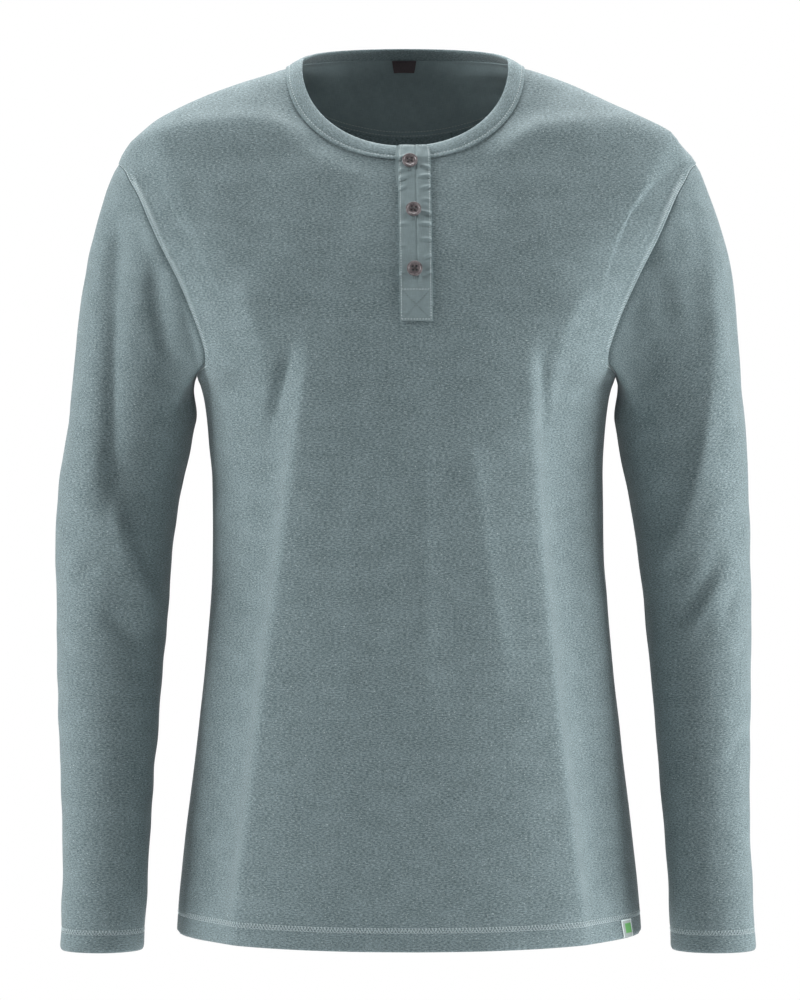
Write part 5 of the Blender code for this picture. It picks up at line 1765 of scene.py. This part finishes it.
def make_hem_label(material):
    """A small tab that lies on the front's hem near the side seam."""
    points, normals, _, _, _ = panel_surface(-1)
    sides = np.linspace(TAB_SIDE, TAB_SIDE + TAB_WIDTH, TAB_CELLS)
    heights = np.linspace(TAB_LOW, TAB_LOW + TAB_HEIGHT, TAB_CELLS)
    skin, out = corner_patch(points, normals, sides, heights)
    rise = np.linspace(0, 1, TAB_CELLS)[:, None]
    curl = bump(rise, TAB_CURL_SHARES[0]) + bump(rise - 1, TAB_CURL_SHARES[1])
    face = skin + out * (TAB_LIFT + TAB_CURL * curl)[..., None]
    uv = np.stack(np.meshgrid(sides - TAB_SIDE, heights - TAB_LOW), -1) * MM
    return make_sheet("hem_label_cloth", face, out, TAB_THICKNESS, uv, material)


# ---- materials

SHADER = "Principled BSDF"
# Noise lies mostly in this range. Tones go from 0, the darker colour, to 1, the lighter one.
NOISE_RANGE = (0.3, 0.7)
SLUB_RANGE = (0.33, 0.67)
VEIN_RANGE = (0.32, 0.68)
SLUB_TONES = (0.10, 0.90)
FIBRE_TONES = (-0.25, 0.25)
CLOUD_TONES = (-0.09, 0.09)
FLECK_RANGE = (0.66, 0.74)
FLECK_SHARES = (0.0, 0.85)
BAND_LIGHTEN = 0.1
WEAVE_TONES = (0.0, 0.5)
WOVEN_CLOUD_TONES = (-0.15, 0.15)
TAB_EDGE_LIGHT = 1.9


def new_material(name, roughness, sheen=0.0, specular=0.5):
    """A Principled material whose plain numbers sit on the shader's own sockets."""
    material = bpy.data.materials.new(name)
    material.use_nodes = True
    inputs = material.node_tree.nodes[SHADER].inputs
    inputs["Roughness"].default_value = roughness
    inputs["Sheen Weight"].default_value = sheen
    inputs["Specular IOR Level"].default_value = specular
    return material, material.node_tree


def add(tree, kind, **settings):
    """A new node with its settings; a setting with a dict sets inputs by name or number."""
    node = tree.nodes.new(kind)
    for name, value in settings.items():
        if name == "inputs":
            for key, amount in value.items():
                node.inputs[key].default_value = amount
        else:
            setattr(node, name, value)
    return node


def feed(tree, socket, value):
    """Links a socket to another one, or sets it to a number or to a colour of three numbers."""
    if isinstance(value, bpy.types.NodeSocket):
        tree.links.new(value, socket)
    else:
        socket.default_value = (*value, 1.0) if isinstance(value, tuple) else value


def cloth_place(tree):
    """The place on the cloth, in metres along its grain."""
    return add(tree, "ShaderNodeUVMap", uv_map=CLOTH_UV).outputs["UV"]


def noise(tree, place, sizes, detail=2.0, roughness=0.5, distortion=0.0):
    """Noise whose cells have the sizes given, in millimetres, along the axes of a place."""
    scale = [1 / (size * MM) for size in sizes] + [1.0] * (3 - len(sizes))
    mapping = add(tree, "ShaderNodeMapping", inputs={"Scale": scale})
    tree.links.new(place, mapping.inputs["Vector"])
    inputs = {"Scale": 1.0, "Detail": detail, "Roughness": roughness, "Distortion": distortion}
    node = add(tree, "ShaderNodeTexNoise", inputs=inputs)
    tree.links.new(mapping.outputs["Vector"], node.inputs["Vector"])
    return node.outputs["Fac"]


def mapped(tree, value, low, high, to_low=0.0, to_high=1.0):
    """A value mapped from one range to another, kept inside it."""
    node = add(tree, "ShaderNodeMapRange")
    for socket, amount in zip(node.inputs, (value, low, high, to_low, to_high)):
        feed(tree, socket, amount)
    return node.outputs[0]


def maths(tree, operation, first, second):
    """One Math node on two values."""
    node = add(tree, "ShaderNodeMath", operation=operation)
    feed(tree, node.inputs[0], first)
    feed(tree, node.inputs[1], second)
    return node.outputs[0]


def mixed(tree, factor, first, second, blend="MIX"):
    """A colour mix; each colour is a socket or three numbers."""
    node = add(tree, "ShaderNodeMix", data_type="RGBA", blend_type=blend)
    for key, value in (("Factor", factor), (6, first), (7, second)):
        feed(tree, node.inputs[key], value)
    return node.outputs[2]


def shades(tree, tone, base, dark, light):
    """A colour that goes with its tone from a dark to a light share of the base colour."""
    base = np.array(base)
    return mixed(tree, tone, tuple(base * dark), tuple(base * light))


def surfaced(material, body, height, distance_mm, strength):
    """Gives a material its colour and its relief, and returns it."""
    tree = material.node_tree
    inputs = {"Strength": strength, "Distance": distance_mm * MM}
    relief = add(tree, "ShaderNodeBump", inputs=inputs)
    tree.links.new(height, relief.inputs["Height"])
    tree.links.new(relief.outputs["Normal"], tree.nodes[SHADER].inputs["Normal"])
    tree.links.new(body, tree.nodes[SHADER].inputs["Base Color"])
    return material


def jersey_material(name, cloth, lighten=0.0):
    """Heathered jersey: short wavy slubs along the courses, flecks and soft clouds."""
    material, tree = new_material(name, 0.86, sheen=0.12, specular=0.25)
    place = cloth_place(tree)
    slub = noise(tree, place, (2.4, 0.8), roughness=0.55, distortion=0.2)
    fibre = noise(tree, place, (0.9, 0.6), roughness=0.6)
    cloud = noise(tree, place, (24.0, 16.0), detail=3.0, roughness=0.55)
    fleck = noise(tree, place, (1.3, 1.0), detail=1.0, distortion=0.3)
    tone = mapped(tree, slub, *SLUB_RANGE, *(share + lighten for share in SLUB_TONES))
    tone = maths(tree, "ADD", tone, mapped(tree, fibre, *NOISE_RANGE, *FIBRE_TONES))
    tone = maths(tree, "ADD", tone, mapped(tree, cloud, *NOISE_RANGE, *CLOUD_TONES))
    body = mixed(tree, tone, tuple(cloth.jersey_dark), tuple(cloth.jersey_light))
    spots = mapped(tree, fleck, *FLECK_RANGE, *FLECK_SHARES)
    body = mixed(tree, spots, body, tuple(cloth.jersey_fleck))
    return surfaced(material, body, maths(tree, "ADD", slub, fibre), 0.22, 0.6)


def woven_material(name, cloth):
    """Fine poplin: a close plain weave with a few thicker threads."""
    material, tree = new_material(name, 0.72, sheen=0.10, specular=0.3)
    place = cloth_place(tree)
    warp = mapped(tree, noise(tree, place, (0.32, 6.0)), *NOISE_RANGE, *WEAVE_TONES)
    weft = mapped(tree, noise(tree, place, (6.0, 0.32)), *NOISE_RANGE, *WEAVE_TONES)
    cloud = noise(tree, place, (9.0, 12.0))
    tone = maths(tree, "ADD", warp, weft)
    tone = maths(tree, "ADD", tone, mapped(tree, cloud, *NOISE_RANGE, *WOVEN_CLOUD_TONES))
    body = shades(tree, tone, cloth.woven_colour, 0.82, 1.2)
    return surfaced(material, body, tone, 0.08, 0.6)


def horn_material(buttons):
    """Marbled horn with a half gloss."""
    material, tree = new_material("Button horn", 0.38, specular=0.5)
    place = add(tree, "ShaderNodeTexCoord").outputs["Object"]
    vein = noise(tree, place, (2.2, 2.2, 2.2), detail=4.0, roughness=0.6, distortion=1.2)
    tone = mapped(tree, vein, *VEIN_RANGE)
    body = mixed(tree, tone, tuple(buttons.dark_colour), tuple(buttons.light_colour))
    return surfaced(material, body, vein, 0.05, 0.4)


def thread_material(name, thread_colour):
    """Twisted sewing thread."""
    material, tree = new_material(name, 0.6, sheen=0.2, specular=0.35)
    place = add(tree, "ShaderNodeTexCoord").outputs["Object"]
    twist = noise(tree, place, (0.9, 0.9, 0.9))
    body = shades(tree, mapped(tree, twist, *NOISE_RANGE), thread_colour, 0.8, 1.15)
    return surfaced(material, body, twist, 0.05, 0.5)


def satin_material(cloth):
    """Dark satin of the neck label."""
    material, tree = new_material("Label satin", 0.42, sheen=0.1, specular=0.5)
    place = cloth_place(tree)
    float_threads = noise(tree, place, (0.25, 2.5))
    tone = mapped(tree, float_threads, *NOISE_RANGE)
    body = shades(tree, tone, cloth.label_colour, 0.75, 1.35)
    return surfaced(material, body, float_threads, 0.05, 0.5)


def window(tree, value, low, high):
    """1 where a value lies between two lengths in millimetres, with soft edges."""
    low, high, soft = low * MM, high * MM, TAB_SOFT * MM
    rise = mapped(tree, value, low - soft, low + soft)
    fall = mapped(tree, value, high - soft, high + soft, 1.0, 0.0)
    return maths(tree, "MULTIPLY", rise, fall)


def rectangle(tree, u, v, left, right, low, high):
    """1 in a rectangle of the cloth, in millimetres, and 0 round it."""
    across = window(tree, u, left, right)
    return maths(tree, "MULTIPLY", across, window(tree, v, low, high))


def tab_material(cloth):
    """Grey woven tab with lighter edges and a plain block."""
    material, tree = new_material("Hem tab", 0.7, sheen=0.1, specular=0.3)
    place = cloth_place(tree)
    parts = add(tree, "ShaderNodeSeparateXYZ")
    tree.links.new(place, parts.inputs[0])
    u, v = parts.outputs[0], parts.outputs[1]
    right, top = TAB_WIDTH - TAB_EDGE, TAB_HEIGHT - TAB_TOP_EDGE
    inner = rectangle(tree, u, v, TAB_EDGE, right, -1.0, top)
    block = rectangle(tree, u, v, *TAB_BLOCK)
    weave = noise(tree, place, (0.4, 0.4))
    base = np.array(cloth.tab_colour)
    body = mixed(tree, inner, tuple(np.minimum(base * TAB_EDGE_LIGHT, 1.0)), tuple(base))
    body = mixed(tree, block, body, tuple(cloth.tab_mark_colour))
    shade = shades(tree, mapped(tree, weave, *NOISE_RANGE), np.ones(3), 0.75, 1.15)
    body = mixed(tree, 1.0, body, shade, "MULTIPLY")
    return surfaced(material, body, weave, 0.06, 0.5)


# ---- operators


@functools.cache
def shared_material(name):
    """The shirt's materials, each made once."""
    scene = bpy.context.scene
    cloth = scene.henley_cloth
    sewing = scene.henley_sewing
    makers = {
        "jersey": lambda: jersey_material("Heather jersey", cloth),
        "band": lambda: jersey_material("Neckband jersey", cloth, lighten=BAND_LIGHTEN),
        "woven": lambda: woven_material("Placket poplin", cloth),
        "horn": lambda: horn_material(scene.henley_buttons),
        "thread": lambda: thread_material("Sewing thread", sewing.thread_colour),
        "topstitch": lambda: thread_material("Topstitch thread", sewing.topstitch_colour),
        "cross thread": lambda: thread_material("Cross thread", sewing.cross_thread_colour),
        "button thread": lambda: thread_material("Button thread", sewing.button_thread_colour),
        "satin": lambda: satin_material(cloth),
        "tab": lambda: tab_material(cloth),
    }
    return makers[name]()


class HENLEY_OT_body(bpy.types.Operator):
    """Models the front and the back"""

    bl_idname = "henley.body"
    bl_label = "Front and Back"

    def execute(self, context):
        """Makes both panels."""
        thickness = context.scene.henley_cloth.jersey_thickness / MM
        for name, facing in (("front", -1), ("back", 1)):
            piece = make_panel(name + "_cloth", facing, thickness, shared_material("jersey"))
            finish_piece(piece, "jersey", name)
        return {"FINISHED"}


class HENLEY_OT_sleeves(bpy.types.Operator):
    """Models both sleeves"""

    bl_idname = "henley.sleeves"
    bl_label = "Sleeves"

    def execute(self, context):
        """Makes both sleeves."""
        thickness = context.scene.henley_cloth.jersey_thickness / MM
        for name, half in (("sleeve_left", -1), ("sleeve_right", 1)):
            piece = make_sleeve(name + "_cloth", half, thickness, shared_material("jersey"))
            finish_piece(piece, "jersey", name)
        return {"FINISHED"}


class HENLEY_OT_neckband(bpy.types.Operator):
    """Models the neckband"""

    bl_idname = "henley.neckband"
    bl_label = "Neckband"

    def execute(self, context):
        """Makes the neckband."""
        piece = make_neckband(shared_material("band"))
        finish_piece(piece, "neckband_jersey", "neckband")
        return {"FINISHED"}


class HENLEY_OT_placket(bpy.types.Operator):
    """Models the two placket strips"""

    bl_idname = "henley.placket"
    bl_label = "Placket"

    def execute(self, context):
        """Makes both strips."""
        thickness = context.scene.henley_cloth.woven_thickness / MM
        sheet, relief = over_surface()
        cloth = shared_material("woven")
        over = make_placket_strip("placket_over_cloth", sheet, relief, thickness, cloth)
        finish_piece(over, "placket_poplin", "placket_over")
        width, low = PLACKET_WIDTH - UNDER_NARROWER, PLACKET_BOTTOM_Z + UNDER_SHORTER
        sheet = placket_sheet(width, UNDER_SHIFT, UNDER_TOP_INSET, low, UNDER_FACE)
        flat = np.zeros(sheet[0].shape[:2])
        thickness *= UNDER_THICKNESS_SHARE
        under = make_placket_strip("placket_under_cloth", sheet, flat, thickness, cloth)
        finish_piece(under, "placket_poplin", "placket_under")
        return {"FINISHED"}


class HENLEY_OT_buttons(bpy.types.Operator):
    """Models the three buttons"""

    bl_idname = "henley.buttons"
    bl_label = "Buttons"

    def execute(self, context):
        """Models one button and copies it to each place."""
        sizes = context.scene.henley_buttons
        pattern = model_button(sizes, shared_material("horn"))
        for number, spot in enumerate(BUTTONS, start=1):
            base, across, up, out = placket_frame(spot.x, spot.z)
            place = Matrix.Identity(4)
            turn = Matrix.Rotation(math.radians(spot.turn), 4, "Z")
            for k, axis in enumerate((across, up, out)):
                place.col[k][:3] = axis
            place.translation = Vector((base + out * BUTTON_LIFT) * MM)
            button = bpy.data.objects.new(f"button_{number}_horn", pattern.data.copy())
            button.data.transform(place @ turn)
            context.scene.collection.objects.link(button)
            finish_piece(button, "button_horn", f"button_{number}")
        bpy.data.objects.remove(pattern, do_unlink=True)
        return {"FINISHED"}


class HENLEY_OT_neck_inside(bpy.types.Operator):
    """Models the half moon and the label inside the back neck"""

    bl_idname = "henley.neck_inside"
    bl_label = "Inside the Neck"

    def execute(self, context):
        """Makes the half moon and the neck label."""
        facing = make_facing(shared_material("woven"))
        finish_piece(facing, "placket_poplin", "neck_facing")
        label = make_neck_label(shared_material("satin"))
        finish_piece(label, "label_satin", "neck_label")
        return {"FINISHED"}


class HENLEY_OT_hem_label(bpy.types.Operator):
    """Models the tab on the hem"""

    bl_idname = "henley.hem_label"
    bl_label = "Hem Label"

    def execute(self, context):
        """Makes the tab."""
        label = make_hem_label(shared_material("tab"))
        finish_piece(label, "hem_tab", "hem_label")
        return {"FINISHED"}


class HENLEY_OT_sewing(bpy.types.Operator):
    """Sews every seam that shows"""

    bl_idname = "henley.sewing"
    bl_label = "Sewing"

    def execute(self, context):
        """Makes each seam's stitches as one piece."""
        sewing = context.scene.henley_sewing
        fine = sewing.thread_width / MM
        wide = sewing.topstitch_width / MM
        buttons = context.scene.henley_buttons
        for name, slot, thread, width, strokes in (
            ("hem_sewing", "jersey", "thread", fine, hem_sewing(sewing)),
            ("cuff_sewing", "jersey", "thread", fine, cuff_sewing(sewing)),
            ("armhole_sewing", "jersey", "thread", wide, armhole_sewing(sewing)),
            ("neckband_sewing", "neckband_jersey", "topstitch", wide, neckband_sewing(sewing)),
            ("placket_sewing", "placket_poplin", "topstitch", wide, placket_sewing(sewing)),
            ("cross_sewing", "placket_poplin", "cross thread", fine, cross_sewing(sewing)),
            ("buttonhole_sewing", "placket_poplin", "cross thread", fine, buttonhole_sewing()),
            ("facing_sewing", "placket_poplin", "thread", fine, facing_sewing(sewing)),
            ("button_threads", "placket_poplin", "button thread", fine, button_threads(buttons)),
        ):
            piece = make_stitches(name, strokes, width, shared_material(thread))
            finish_piece(piece, slot)
        return {"FINISHED"}


class HENLEY_OT_stage(bpy.types.Operator):
    """Sets the floor, the lights and the camera"""

    bl_idname = "henley.stage"
    bl_label = "Stage"

    def execute(self, context):
        """Makes the stage."""
        stage = context.scene.henley_stage
        make_floor(stage)
        make_world(context.scene, stage)
        for light in LIGHTS:
            make_light(light, stage)
        make_camera(context.scene)
        context.scene.view_settings.view_transform = "Standard"
        return {"FINISHED"}


# ---- stage

FLOOR_Z = -1.2
FLOOR_RADIUS = 2.6
CAMERA_DISTANCE = 3.2
CAMERA_X = -0.0064
CAMERA_Z = -0.352
FILM_HEIGHT_MM = 36.0
LENS_MM = 144.0

# A light stands at an azimuth from the front, and an elevation, in degrees. It is a square of
# the given side that aims at the shirt's middle, and gives its share of the power.
StageLight = namedtuple("StageLight", "name azimuth elevation side share")
LIGHTS = [
    StageLight("Light_left", -82, 26, 1.2, 0.255),
    StageLight("Light_right", 82, 26, 1.2, 0.150),
    StageLight("Light_right_low", 84, 0, 1.2, 0.150),
    StageLight("Light_front", 0, 10, 1.6, 0.035),
    StageLight("Light_behind", 180, 65, 1.4, 0.400),
]
LIGHT_DISTANCE = 2.7
LIGHT_AIM = Vector((0.0, 0.0, -0.33))


def make_floor(stage):
    """A round pale floor, well below the shirt."""
    bpy.ops.object.select_all(action="DESELECT")
    bpy.ops.mesh.primitive_circle_add(
        vertices=96, radius=FLOOR_RADIUS, fill_type="NGON", location=(0, 0, FLOOR_Z)
    )
    floor = bpy.context.active_object
    floor.name = "Floor"
    bpy.ops.object.transform_apply(location=True)
    material, tree = new_material("Pale floor", 0.8)
    feed(tree, tree.nodes[SHADER].inputs["Base Color"], tuple(stage.floor_colour))
    floor.data.materials.append(material)


def make_world(scene, stage):
    """White to the camera, and a weaker even light on the shirt."""
    world = bpy.data.worlds.new("Studio")
    world.use_nodes = True
    tree = world.node_tree
    background = tree.nodes["Background"]
    background.inputs["Color"].default_value = (1.0, 1.0, 1.0, 1.0)
    background.inputs["Strength"].default_value = stage.world_light
    backdrop = add(tree, "ShaderNodeBackground", inputs={"Color": (1, 1, 1, 1), "Strength": 1.0})
    ray = add(tree, "ShaderNodeLightPath")
    choose = add(tree, "ShaderNodeMixShader")
    tree.links.new(ray.outputs["Is Camera Ray"], choose.inputs["Fac"])
    tree.links.new(background.outputs[0], choose.inputs[1])
    tree.links.new(backdrop.outputs[0], choose.inputs[2])
    tree.links.new(choose.outputs[0], tree.nodes["World Output"].inputs["Surface"])
    scene.world = world


def make_light(light, stage):
    """One soft area light that aims at the shirt's middle."""
    data = bpy.data.lights.new(light.name, "AREA")
    data.shape = "SQUARE"
    data.size = light.side
    data.energy = stage.light_power * light.share
    lamp = bpy.data.objects.new(light.name, data)
    turn, rise = math.radians(light.azimuth), math.radians(light.elevation)
    level = math.cos(rise)
    towards = Vector((math.sin(turn) * level, -math.cos(turn) * level, math.sin(rise)))
    lamp.location = LIGHT_AIM + LIGHT_DISTANCE * towards
    lamp.rotation_euler = (-towards).to_track_quat("-Z", "Y").to_euler()
    bpy.context.scene.collection.objects.link(lamp)


def make_camera(scene):
    """A level camera straight in front."""
    data = bpy.data.cameras.new("Camera")
    data.sensor_fit = "VERTICAL"
    data.sensor_height = FILM_HEIGHT_MM
    data.sensor_width = FILM_HEIGHT_MM
    data.lens = LENS_MM
    camera = bpy.data.objects.new("Camera", data)
    camera.location = (CAMERA_X, -CAMERA_DISTANCE, CAMERA_Z)
    camera.rotation_euler = (math.pi / 2, 0.0, 0.0)
    scene.collection.objects.link(camera)
    scene.camera = camera


# ---- panel and registration

OPERATORS = (
    HENLEY_OT_body,
    HENLEY_OT_sleeves,
    HENLEY_OT_neckband,
    HENLEY_OT_placket,
    HENLEY_OT_buttons,
    HENLEY_OT_neck_inside,
    HENLEY_OT_hem_label,
    HENLEY_OT_sewing,
    HENLEY_OT_stage,
)


class HENLEY_PT_panel(bpy.types.Panel):
    """Lists the shirt's pieces and settings"""

    bl_label = "Henley Shirt"
    bl_idname = "HENLEY_PT_panel"
    bl_space_type = "VIEW_3D"
    bl_region_type = "UI"
    bl_category = "Henley"

    def draw(self, context):
        """Draws a button for each piece, then the settings."""
        for operator in OPERATORS:
            self.layout.operator(operator.bl_idname)
        for group in SETTINGS:
            box = self.layout.box()
            settings = getattr(context.scene, group)
            for name in SETTINGS[group].__annotations__:
                box.prop(settings, name)


SETTINGS = {
    "henley_cloth": HenleyCloth,
    "henley_sewing": HenleySewing,
    "henley_buttons": HenleyButtons,
    "henley_stage": HenleyStage,
}


def register():
    """Registers the settings, the operators and the panel."""
    for name, group in SETTINGS.items():
        bpy.utils.register_class(group)
        setattr(bpy.types.Scene, name, bpy.props.PointerProperty(type=group))
    for operator in OPERATORS:
        bpy.utils.register_class(operator)
    bpy.utils.register_class(HENLEY_PT_panel)


def unregister():
    """Removes all that register added."""
    bpy.utils.unregister_class(HENLEY_PT_panel)
    for operator in reversed(OPERATORS):
        bpy.utils.unregister_class(operator)
    for name, group in SETTINGS.items():
        delattr(bpy.types.Scene, name)
        bpy.utils.unregister_class(group)


def write_sizes():
    """Updates the scene's view layer."""
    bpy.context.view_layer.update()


def main():
    """Dresses the frame and sets the stage."""
    register()
    for operator in OPERATORS:
        group, name = operator.bl_idname.split(".")
        getattr(getattr(bpy.ops, group), name)()
    write_sizes()


if __name__ == "__main__":
    main()
